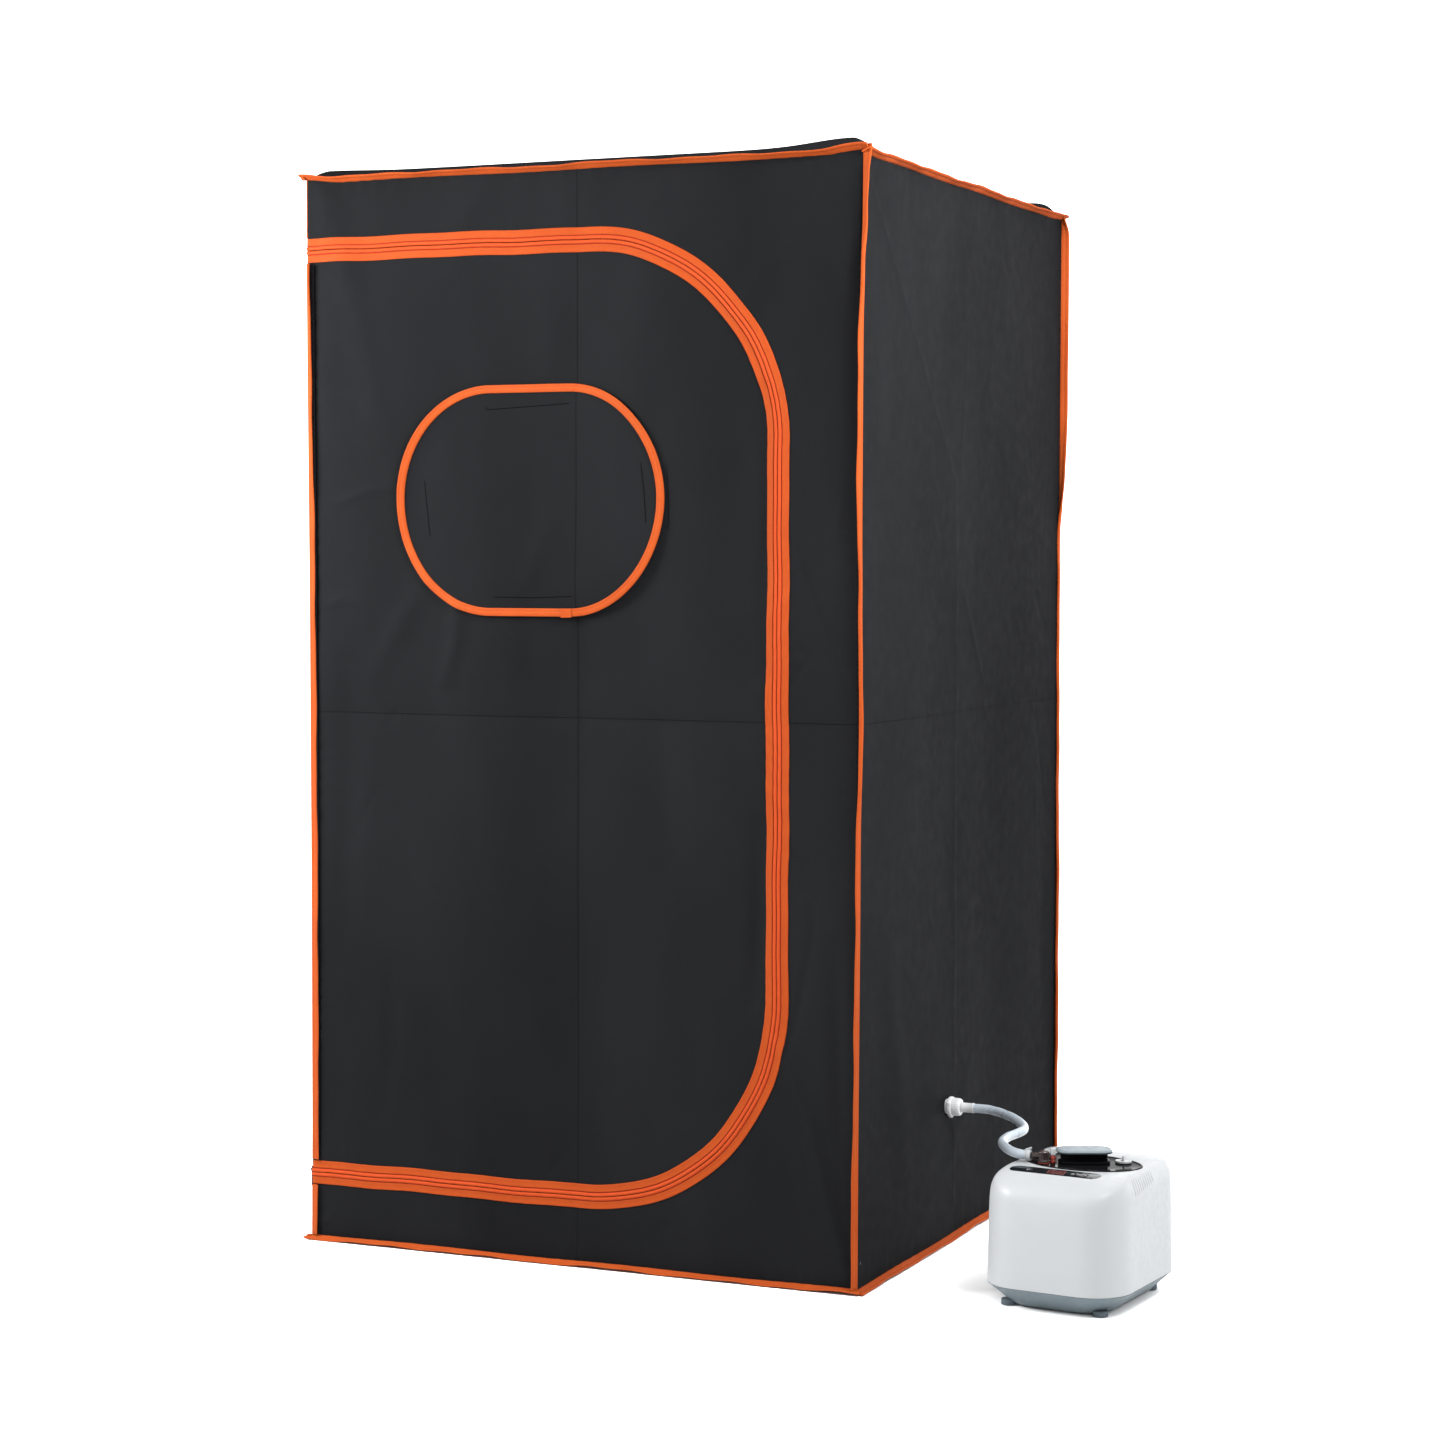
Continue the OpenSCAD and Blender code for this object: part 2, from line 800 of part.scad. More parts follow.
floor_panel();
left_wall();
right_wall();
rear_wall();
front_panel();
roof_panel();
corner_bindings();
roof_bindings();
floor_bindings();
zip_frame_tape();
zip_slider();
zip_pull();
door_panel();
zip_door_tape();
window_pane();
door_loop_pads();
window_flap();
flap_binding();
flap_hook_pads();
lower_uprights();
upper_uprights();
upright_couplers();
roof_rods();
floor_rods();
roof_connectors();
floor_connectors();
port_bushing();
port_washer();
port_nut();
hose_barb();
steam_hose();
outlet_clip();
steamer_shell();
steamer_base();
steamer_feet();
base_screws();
water_tank();
tank_seal();
heater_plate();
heater_coil();
thermal_cutout();
lid_plate();
steam_elbow();
elbow_seal();
valve_seat();
valve_cap();
fill_cap();
lid_handle();
handle_grip();
handle_spindle();
latch_bar();
control_panel();
power_button();
timer_button();
heat_button();
display_module();
control_board();
mains_inlet();
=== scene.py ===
"""Looks of the portable steam sauna: a zipped fabric cabin, its hose and its steam generator."""
import math

import bmesh
import bpy
import numpy as np
from mathutils import Matrix, Vector, geometry


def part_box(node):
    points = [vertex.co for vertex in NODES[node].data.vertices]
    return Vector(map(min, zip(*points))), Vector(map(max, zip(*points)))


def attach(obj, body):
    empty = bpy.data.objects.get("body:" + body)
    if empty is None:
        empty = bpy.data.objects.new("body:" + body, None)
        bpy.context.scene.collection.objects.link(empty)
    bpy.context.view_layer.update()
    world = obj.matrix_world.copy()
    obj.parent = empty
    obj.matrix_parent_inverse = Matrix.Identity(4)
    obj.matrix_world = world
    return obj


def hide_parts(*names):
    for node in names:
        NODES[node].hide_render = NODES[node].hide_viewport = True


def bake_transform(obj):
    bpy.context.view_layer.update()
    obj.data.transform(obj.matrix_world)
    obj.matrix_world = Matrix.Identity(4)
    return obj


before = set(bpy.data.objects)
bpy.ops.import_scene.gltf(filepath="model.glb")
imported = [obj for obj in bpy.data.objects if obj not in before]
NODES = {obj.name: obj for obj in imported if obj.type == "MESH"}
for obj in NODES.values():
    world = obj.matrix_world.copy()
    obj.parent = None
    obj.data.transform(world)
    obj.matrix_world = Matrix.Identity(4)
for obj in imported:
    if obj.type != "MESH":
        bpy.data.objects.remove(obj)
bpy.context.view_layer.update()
ROOT = "cabin_and_generator"
MM = 0.001


def box(node):
    """Lowest and highest corner of a CAD node, as arrays."""
    low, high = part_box(node)
    return np.array(low), np.array(high)


def middle(node):
    low, high = box(node)
    return (low + high) / 2


# ---- sizes, from the frame ----

HALF_W = box("right_wall")[1][0]
HALF_D = box("right_wall")[1][1]
FRONT = -HALF_D
TOP = box("right_wall")[1][2] + 3 * MM
ZIP_X = box("door_panel")[1][0] + 0.5 * MM
ZIP_TOP = box("door_panel")[1][2] + 0.5 * MM
ZIP_BOTTOM = box("door_panel")[0][2] - 0.5 * MM
ZIP_R = 335 * MM
ZIP_HALF = box("zip_frame_tape")[1][2] - ZIP_TOP
FOLD_X = box("door_panel")[0][0]
PORT = middle("port_bushing")
FLAP = middle("flap_binding")
FLAP_HALF = (box("flap_binding")[1] - box("flap_binding")[0])[[0, 2]] / 2
FLAP_FLAT = 72 * MM  # half the straight run along its top and bottom
GEN = middle("steamer_feet") * [1, 1, 0]
GEN_TURN = math.radians(-6.2)
LID_TURN = math.radians(30)
OUTLET_TURN = math.radians(14)
LID = middle("handle_spindle") * [1, 1, 0]
STRIP = middle("control_panel")
CLOTH = 2.2 * MM

# ---- camera and light ----

camera_data = bpy.data.cameras.new("camera")
camera_data.lens = 76.17
camera_data.sensor_width = 36
camera = bpy.data.objects.new("camera", camera_data)
bpy.context.collection.objects.link(camera)
camera.location = (2.198, -4.996, 1.163)
camera.rotation_euler = (math.radians(90 - 3.07), math.radians(-0.11), math.radians(23.384))
bpy.context.scene.camera = camera
bpy.context.scene.view_settings.view_transform = "Standard"


def area_light(name, place, aim, size, power, spread=180):
    light = bpy.data.lights.new(name, "AREA")
    light.shape = "RECTANGLE"
    light.size, light.size_y = size
    light.energy = power
    light.spread = math.radians(spread)
    lamp = bpy.data.objects.new(name, light)
    bpy.context.collection.objects.link(lamp)
    lamp.location = place
    lamp.rotation_euler = (Vector(aim) - Vector(place)).to_track_quat("-Z", "Y").to_euler()


area_light("key", (-1.5, -1.5, 1.75), (-0.25, -0.5, 1.25), (0.8, 0.8), 128)
area_light("side", (2.0, -1.4, 2.6), (0.5, -0.2, 1.4), (0.8, 0.8), 29, 100)
area_light("wall", (1.9, -0.9, 2.2), (0.5, -0.1, 1.55), (0.7, 0.7), 21, 80)


def studio_world():
    """White behind everything, brighter from above and from behind than from the front."""
    world = bpy.data.worlds.new("studio")
    bpy.context.scene.world = world
    world.use_nodes = True
    nodes, links = world.node_tree.nodes, world.node_tree.links
    background = nodes["Background"]
    background.inputs["Color"].default_value = (1, 1, 1, 1)
    direction = nodes.new("ShaderNodeSeparateXYZ")
    links.new(nodes.new("ShaderNodeTexCoord").outputs["Generated"], direction.inputs[0])

    def math_node(operation, *values):
        made = nodes.new("ShaderNodeMath")
        made.operation = operation
        for socket, value in zip(made.inputs, values):
            if isinstance(value, bpy.types.NodeSocket):
                links.new(value, socket)
            else:
                socket.default_value = value
        return made.outputs[0]

    strength = 0.52
    for axis, power, gain in (("Z", 4, 2.67), ("Y", 1, 2.13), ("X", 1, 1.25)):
        part = math_node("POWER", math_node("MAXIMUM", direction.outputs[axis], 0.0), power)
        strength = math_node("MULTIPLY_ADD", part, gain, strength)
    seen = nodes.new("ShaderNodeLightPath").outputs["Is Camera Ray"]
    backdrop = math_node("MULTIPLY", seen, 1.2)
    links.new(math_node("MAXIMUM", backdrop, strength), background.inputs["Strength"])


studio_world()


# ---- materials ----

MATERIALS = {}


class Finish:
    """A Principled material, listed in MATERIALS, and the nodes that give it its detail."""

    def __init__(self, name, colour, roughness, specular=0.5, **values):
        self.material = bpy.data.materials.new(name)
        self.material.use_nodes = True
        self.nodes = self.material.node_tree.nodes
        self.links = self.material.node_tree.links
        self.shader = self.nodes["Principled BSDF"]
        values |= {"Base_Color": (*colour, 1), "Roughness": roughness, "Specular_IOR_Level": specular}
        for socket, value in values.items():
            self.shader.inputs[socket.replace("_", " ")].default_value = value
        self.colour = colour
        self.normal = None
        MATERIALS[name] = self.material

    def node(self, kind, inputs=None, **settings):
        made = self.nodes.new("ShaderNode" + kind)
        for key, value in settings.items():
            setattr(made, key, value)
        for key, value in (inputs or {}).items():
            if isinstance(value, bpy.types.NodeSocket):
                self.links.new(value, made.inputs[key])
            else:
                made.inputs[key].default_value = value
        return made

    def place(self, stretch=(1, 1, 1), kind="Object"):
        where = self.node("TexCoord").outputs[kind]
        return self.node("Mapping", {"Vector": where, "Scale": stretch}).outputs["Vector"]

    def noise(self, scale, detail=3, where=None, rough=0.55):
        where = where or self.place()
        inputs = {"Vector": where, "Scale": scale, "Detail": detail, "Roughness": rough}
        return self.node("TexNoise", inputs).outputs["Fac"]

    def math(self, operation, a, b=0.0):
        return self.node("Math", {0: a, 1: b}, operation=operation).outputs[0]

    def near(self, value, centre, half):
        """1 where value is within half of centre, 0 elsewhere."""
        return self.node("Math", {0: value, 1: centre, 2: half}, operation="COMPARE").outputs[0]

    def along_and_across(self):
        """The two coordinates of the piece's UVs."""
        where = self.node("SeparateXYZ", {"Vector": self.node("TexCoord").outputs["UV"]})
        return where.outputs["X"], where.outputs["Y"]

    def ramp(self, value, low, high, out_low=0.0, out_high=1.0):
        inputs = {"Value": value, "From Min": low, "From Max": high, "To Min": out_low, "To Max": out_high}
        return self.node("MapRange", inputs).outputs["Result"]

    def tint(self, factor, low, high):
        """Colours the surface between low and high times its own colour, by factor."""
        mix = self.node("Mix", {"Factor": factor}, data_type="RGBA")
        for socket, share in ((mix.inputs[6], low), (mix.inputs[7], high)):
            shares = share if isinstance(share, tuple) else (share,) * 3
            socket.default_value = (*[min(1, c * s) for c, s in zip(self.colour, shares)], 1)
        self.links.new(mix.outputs[2], self.shader.inputs["Base Color"])
        return mix.outputs[2]

    def paint(self, factor, under, colour):
        """Lays a colour over the colour socket under, where factor is 1."""
        mix = self.node("Mix", {"Factor": factor, 6: under, 7: (*colour, 1)}, data_type="RGBA")
        self.links.new(mix.outputs[2], self.shader.inputs["Base Color"])
        return mix.outputs[2]

    def gloss(self, factor, low, high):
        self.links.new(self.ramp(factor, 0.3, 0.7, low, high), self.shader.inputs["Roughness"])

    def bump(self, height, distance, strength=1.0):
        inputs = {"Height": height, "Distance": distance, "Strength": strength}
        if self.normal:
            inputs["Normal"] = self.normal
        self.normal = self.node("Bump", inputs).outputs["Normal"]
        self.links.new(self.normal, self.shader.inputs["Normal"])

    def ridges(self, pitch, where, axis="X"):
        """Height of even ridges, pitch apart along an axis of where."""
        inputs = {"Vector": where, "Scale": 2 * math.pi / (20 * pitch)}
        return self.node("TexWave", inputs, bands_direction=axis).outputs["Fac"]

    def weave(self, pitch):
        """Height of a plain weave whose threads are pitch apart, from the piece's UVs in metres."""
        where = self.node("TexCoord").outputs["UV"]
        threads = [self.ridges(2 * pitch, where, axis) for axis in ("X", "Y")]
        over = self.node("TexChecker", {"Vector": where, "Scale": 1 / pitch}).outputs["Fac"]
        mix = self.node("Mix", {"Factor": over, 2: threads[0], 3: threads[1]})
        return mix.outputs[0]


def cover_finish(name, specular):
    """Coated cloth with painted light and shade: lighter and darker blotches of painted fold shading, and
    dark lines of painted shade along the creases of the folds that it was packed in.
    """
    f = Finish(name, (0.0063, 0.0065, 0.0071), 0.6, specular)
    # painted light and shade: soft blotches, stretched upright, make the cloth lighter and darker in place of
    # the shading of its folds
    fold_light_and_shade_blotches = f.ramp(f.noise(2.6, 4, f.place((1, 1, 0.4))), 0.3, 0.7)
    under = f.tint(fold_light_and_shade_blotches, 0.76, 1.24)
    where = f.node("SeparateXYZ", {"Vector": f.place()})
    # painted shade: dark lines along the creases at x 4 mm and at z 903 mm, where shade falls in the folds
    for axis, crease_line_at in (("X", 4 * MM), ("Z", 903 * MM)):
        fold = f.near(where.outputs[axis], crease_line_at, 0.9 * MM)
        under = f.paint(f.math("MULTIPLY", fold, 0.55), under, (0.0018, 0.0018, 0.002))
    f.gloss(f.noise(38, 4), 0.47, 0.64)
    f.bump(f.noise(9, 3, rough=0.5), 0.7 * MM, 0.07)
    f.bump(f.weave(0.9 * MM), 0.1 * MM, 0.4)


def lining_finish():
    f = Finish("silver_lining", (0.27, 0.275, 0.285), 0.36, 0.2, Metallic=0.6)
    f.tint(f.noise(30, 4), 0.82, 1.1)
    f.gloss(f.noise(60, 3), 0.26, 0.45)
    crumple = f.node("TexVoronoi", {"Vector": f.place(), "Scale": 42.0}, feature="DISTANCE_TO_EDGE")
    f.bump(crumple.outputs["Distance"], 0.8 * MM, 0.5)
    f.bump(f.weave(1.2 * MM), 0.1 * MM, 0.5)


def tape_finish():
    """Ribbed tape with one line of stitches along its middle, where painted shade darkens its groove; V runs
    across it from 0 to 1.
    """
    f = Finish("binding_tape", (0.214, 0.0355, 0.0070), 0.66, 0.03)
    along, across = f.along_and_across()
    middle_line = f.near(across, 0.5, 0.07)
    dash = f.math("LESS_THAN", f.math("FRACT", f.math("MULTIPLY", along, 1 / (3.4 * MM))), 0.66)
    stitch = f.math("MULTIPLY", middle_line, dash)
    under = f.tint(f.noise(26, 3), (0.88, 0.8, 0.8), (1.1, 1.2, 1.15))
    # painted shade: the groove along the stitch line is darkened to a deeper red
    under = f.paint(f.math("MULTIPLY", middle_line, 0.4), under, (0.19, 0.02, 0.006))
    f.paint(f.math("MULTIPLY", stitch, 0.45), under, (0.35, 0.08, 0.02))
    f.bump(f.ridges(1.1 * MM, f.place((1, 0.02, 1), "UV")), 0.15 * MM, 0.6)
    f.bump(stitch, 0.25 * MM, 0.8)


def zip_finish():
    """Zip tape whose V is the distance from the middle of the zip, in metres; painted shade darkens its
    groove and the line where its two halves meet.
    """
    f = Finish("zip_tape", (0.205, 0.0308, 0.0059), 0.66, 0.03)
    _, across = f.along_and_across()
    under = f.tint(f.noise(22, 3), (0.92, 0.88, 0.9), (1.06, 1.15, 1.1))
    ridge = f.math("LESS_THAN", across, 6.4 * MM)
    under = f.paint(f.math("MULTIPLY", ridge, 0.55), under, (0.30, 0.036, 0.010))
    # painted shade: a dark line in the groove between the coil ridge and the flat tape
    seam = f.near(across, 7.0 * MM, 0.75 * MM)
    under = f.paint(f.math("MULTIPLY", seam, 0.9), under, (0.16, 0.010, 0.005))
    # painted shade: a dark line in the gap where the two halves of the zip meet
    meeting_shade = f.near(across, 0.0, 0.55 * MM)
    f.paint(f.math("MULTIPLY", meeting_shade, 0.8), under, (0.19, 0.015, 0.006))
    coil = f.ridges(1.6 * MM, f.place((1, 0.35, 1), "UV"))
    f.bump(f.math("MULTIPLY", coil, ridge), 0.3 * MM, 0.6)
    f.bump(f.ridges(0.9 * MM, f.place((1, 0, 1), "UV")), 0.12 * MM, 0.5)


def pad_finish():
    f = Finish("hook_and_loop", (0.004, 0.004, 0.0045), 0.9, 0.0, Sheen_Weight=0.01, Sheen_Roughness=0.6)
    f.tint(f.noise(700, 2), 0.6, 1.5)
    loops = f.node("TexVoronoi", {"Vector": f.place(), "Scale": 900.0}).outputs["Distance"]
    f.bump(loops, 0.5 * MM)


def moulded(name, colour, roughness, grain, spread=0.05, **values):
    """Moulded plastic or rubber: fine grain, uneven gloss and a slightly uneven colour."""
    f = Finish(name, colour, roughness, **values)
    f.tint(f.noise(45, 3), 1 - spread, 1 + spread)
    f.gloss(f.noise(90, 4), roughness * 0.8, min(1, roughness * 1.25))
    f.bump(f.noise(1500, 2), grain, 0.5)


def metal(name, colour, roughness, stretch=(1, 1, 60), scratch=0.05 * MM):
    """Bare or plated metal, brushed along the axis that stretch shortens."""
    f = Finish(name, colour, roughness, Metallic=1.0)
    lines = f.noise(180, 4, f.place(stretch), 0.7)
    f.tint(lines, 0.82, 1.08)
    f.gloss(lines, roughness * 0.75, roughness * 1.35)
    f.bump(lines, scratch, 0.4)


def film_finish():
    f = Finish("clear_film", (0.9, 0.92, 0.94), 0.08, Transmission_Weight=0.9, IOR=1.3)
    f.bump(f.noise(14, 3), 1.5 * MM, 0.5)
    f.gloss(f.noise(35, 3), 0.05, 0.16)


def hose_finish():
    f = Finish("silicone_hose", (0.29, 0.325, 0.36), 0.3, 0.25, Transmission_Weight=0.1, IOR=1.41,
               Subsurface_Weight=0.5, Subsurface_Scale=4 * MM)
    f.shader.inputs["Subsurface Radius"].default_value = (0.9, 1.0, 1.0)
    f.tint(f.noise(60, 3), 0.96, 1.03)
    f.gloss(f.noise(40, 3), 0.26, 0.34)
    f.bump(f.noise(25, 2), 0.02 * MM, 0.2)


def smoked_finish():
    f = Finish("smoked_clear", (0.042, 0.031, 0.029), 0.12, 0.25, Transmission_Weight=0.4, IOR=1.49)
    f.tint(f.noise(70, 2), 0.85, 1.15)
    f.gloss(f.noise(90, 3), 0.08, 0.18)
    f.bump(f.noise(500, 2), 0.03 * MM, 0.4)


def board_finish():
    f = Finish("circuit_board", (0.02, 0.16, 0.07), 0.35)
    tracks = f.node("TexBrick", {"Vector": f.place(), "Scale": 90.0, "Mortar Size": 0.06}).outputs["Fac"]
    f.paint(tracks, f.tint(f.noise(40), 0.8, 1.2), (0.05, 0.33, 0.15))
    f.bump(tracks, 0.1 * MM, 0.6)


def make_materials():
    cover_finish("cover_fabric", 0.003)
    cover_finish("roof_fabric", 0.0)
    lining_finish()
    tape_finish()
    zip_finish()
    pad_finish()
    film_finish()
    hose_finish()
    smoked_finish()
    board_finish()
    moulded("thread_dark", (0.0006, 0.0006, 0.0007), 0.9, 0.05 * MM, specular=0.0)
    moulded("zip_metal", (0.02, 0.02, 0.022), 0.35, 0.05 * MM, Metallic=0.4)
    metal("frame_tube", (0.34, 0.345, 0.36), 0.3, (1, 1, 0.03))
    moulded("frame_plastic", (0.022, 0.022, 0.024), 0.5, 0.08 * MM)
    # painted light: a lighter copy of white_plastic for the port's nut and barb, brightened for the dim light
    # they get beside the dark wall
    moulded("port_white_painted_light", (0.36, 0.365, 0.37), 0.38, 0.03 * MM, 0.02, specular=0.3)
    moulded("white_plastic", (0.25, 0.257, 0.263), 0.38, 0.03 * MM, 0.02, specular=0.3)
    moulded("black_rubber", (0.008, 0.008, 0.009), 0.75, 0.1 * MM, specular=0.1)
    moulded("housing_white", (0.245, 0.254, 0.262), 0.42, 0.03 * MM, 0.012, specular=0.2,
            Coat_Weight=0.03, Coat_Roughness=0.2)
    moulded("base_grey", (0.085, 0.108, 0.120), 0.5, 0.06 * MM, specular=0.15)
    moulded("foot_rubber", (0.066, 0.082, 0.092), 0.8, 0.1 * MM, specular=0.1)
    metal("steel", (0.38, 0.38, 0.395), 0.3, (60, 1, 1))
    metal("heater_aluminium", (0.66, 0.66, 0.68), 0.45, (1, 1, 1), 0.15 * MM)
    moulded("black_plastic", (0.006, 0.006, 0.0065), 0.4, 0.05 * MM, specular=0.15)
    moulded("smoked_gloss", (0.0035, 0.0035, 0.004), 0.09, 0.004 * MM, specular=0.006)
    moulded("red_silicone", (0.22, 0.024, 0.012), 0.45, 0.05 * MM)
    moulded("grip_grey", (0.115, 0.137, 0.152), 0.42, 0.05 * MM, specular=0.2)
    moulded("key_plastic", (0.006, 0.006, 0.007), 0.14, 0.004 * MM, specular=0.08)
    moulded("display_red", (0.03, 0.012, 0.012), 0.15, 0.004 * MM)
    moulded("strip_gloss", (0.004, 0.005, 0.006), 0.1, 0.004 * MM, specular=0.4)
    # painted shade and reflection: the darker material of the grip's lower edge
    moulded("grip_rim_painted_shade", (0.014, 0.019, 0.023), 0.4, 0.05 * MM, specular=0.1)
    moulded("display_glow", (0.11, 0.014, 0.014), 0.3, 0.004 * MM)
    moulded("icon_white", (0.20, 0.205, 0.21), 0.4, 0.01 * MM)


# ---- pieces and meshes ----

def unit(vectors):
    return vectors / np.linalg.norm(vectors, axis=1)[:, None]


def travel_along(points):
    """Distance travelled along a run of points, at each of them."""
    return np.concatenate([[0], np.cumsum(np.linalg.norm(np.diff(points, axis=0), axis=1))])


def link(name, data, slots, body, replaced=(), slot=None):
    """Adds a piece with its materials, on the body it rides on (None leaves it on no body)."""
    piece = bpy.data.objects.new(name, data)
    bpy.context.collection.objects.link(piece)
    for key in slots:
        data.materials.append(MATERIALS[key])
    if body:
        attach(piece, body)
    if replaced:
        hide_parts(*replaced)
    slot or slots[0]
    return piece


def new_mesh(name, points, faces, uvs=None, sharp=None):
    """A smooth mesh from arrays; uvs has one pair per point; sharp is the angle of kept edges."""
    mesh = bpy.data.meshes.new(name)
    mesh.from_pydata([tuple(p) for p in points], [], faces)
    mesh.validate()
    if uvs is not None:
        layer = mesh.uv_layers.new(name="flat")
        corners = np.zeros(len(mesh.loops), dtype=int)
        mesh.loops.foreach_get("vertex_index", corners)
        layer.data.foreach_set("uv", np.asarray(uvs, dtype=float)[corners].ravel())
    mesh.shade_smooth()
    if sharp:
        mesh.set_sharp_from_angle(angle=math.radians(sharp))
    mesh.update()
    return mesh


def settle_modifiers(piece, sharp=None):
    """Replaces a piece's mesh by its result with all modifiers."""
    evaluated = piece.evaluated_get(bpy.context.evaluated_depsgraph_get())
    made = bpy.data.meshes.new_from_object(evaluated)
    piece.modifiers.clear()
    piece.data = made
    made.shade_smooth()
    if sharp:
        made.set_sharp_from_angle(angle=math.radians(sharp))
    return piece


def ring_faces(rings, count, looped=False, first=0):
    """Quads between neighbouring rings of count points each; looped joins the last ring to the first."""
    def point(ring, place):
        return first + ring % rings * count + place % count

    return [(point(i, k), point(i, k + 1), point(i + 1, k + 1), point(i + 1, k))
            for i in range(rings if looped else rings - 1) for k in range(count)]


def loft(name, rings, capped=True, uvs=None, sharp=None):
    """A closed surface through rings that all have the same number of points: its two ends are capped,
    or else its last ring joins its first."""
    count = len(rings[0])
    faces = ring_faces(len(rings), count, looped=not capped)
    if capped:
        faces += [tuple(range(count - 1, -1, -1)), tuple(range((len(rings) - 1) * count, len(rings) * count))]
    mesh = new_mesh(name, np.concatenate(rings), faces, uvs, sharp)
    shape = bmesh.new()
    shape.from_mesh(mesh)
    bmesh.ops.recalc_face_normals(shape, faces=shape.faces)
    shape.to_mesh(mesh)
    shape.free()
    return mesh


def join(pieces, name):
    """Joins pieces into the first one, under a new name."""
    first = pieces[0]
    with bpy.context.temp_override(active_object=first, selected_editable_objects=pieces,
                                   selected_objects=pieces, object=first):
        bpy.ops.object.join()
    first.name = name
    first.data.name = name
    return first


def merge(pieces, name, body, replaced=()):
    """Joins pieces into one, on a body."""
    first = join(pieces, name)
    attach(first, body)
    if replaced:
        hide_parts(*replaced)
    return first


def dress(node, key):
    """Gives a CAD node that stays as it is its material."""
    piece = NODES[node]
    piece.data.materials.clear()
    piece.data.materials.append(MATERIALS[key])


def smooth_step(value):
    value = np.clip(value, 0, 1)
    return value * value * (3 - 2 * value)


# ---- folds of the fabric ----

class Fold:
    """A fold along a line of points: width on each side of it and height, all in metres."""

    def __init__(self, points, width, height, far_width=None, sharp=False):
        self.points = np.array(points, dtype=float)
        self.widths = (width, far_width or width)
        self.height = height
        self.sharp = sharp

    def at(self, u, v):
        best = np.full(len(u), 1e9)
        side = np.ones(len(u))
        share = np.zeros(len(u))
        steps = np.linalg.norm(np.diff(self.points, axis=0), axis=1)
        total, done = steps.sum(), 0.0
        for (a, b), step in zip(zip(self.points[:-1], self.points[1:]), steps):
            d = (b - a) / step
            along = np.clip((u - a[0]) * d[0] + (v - a[1]) * d[1], 0, step)
            du, dv = u - a[0] - along * d[0], v - a[1] - along * d[1]
            distance = np.hypot(du, dv)
            near = distance < best
            best = np.where(near, distance, best)
            side = np.where(near, np.sign(du * d[1] - dv * d[0]), side)
            share = np.where(near, (done + along) / total, share)
            done += step
        width = np.where(side > 0, self.widths[1], self.widths[0])
        ratio = best / width
        profile = np.exp(-ratio) if self.sharp else np.exp(-ratio ** 2)
        return self.height * profile * np.sqrt(np.clip(np.sin(math.pi * (0.06 + 0.88 * share)), 0, 1))


def soft(points, width, height, far_width=None):
    return Fold(points, width * MM, height * MM, far_width and far_width * MM)


def crease(points, width, height, far_width=None):
    return Fold(points, width * MM, height * MM, far_width and far_width * MM, sharp=True)


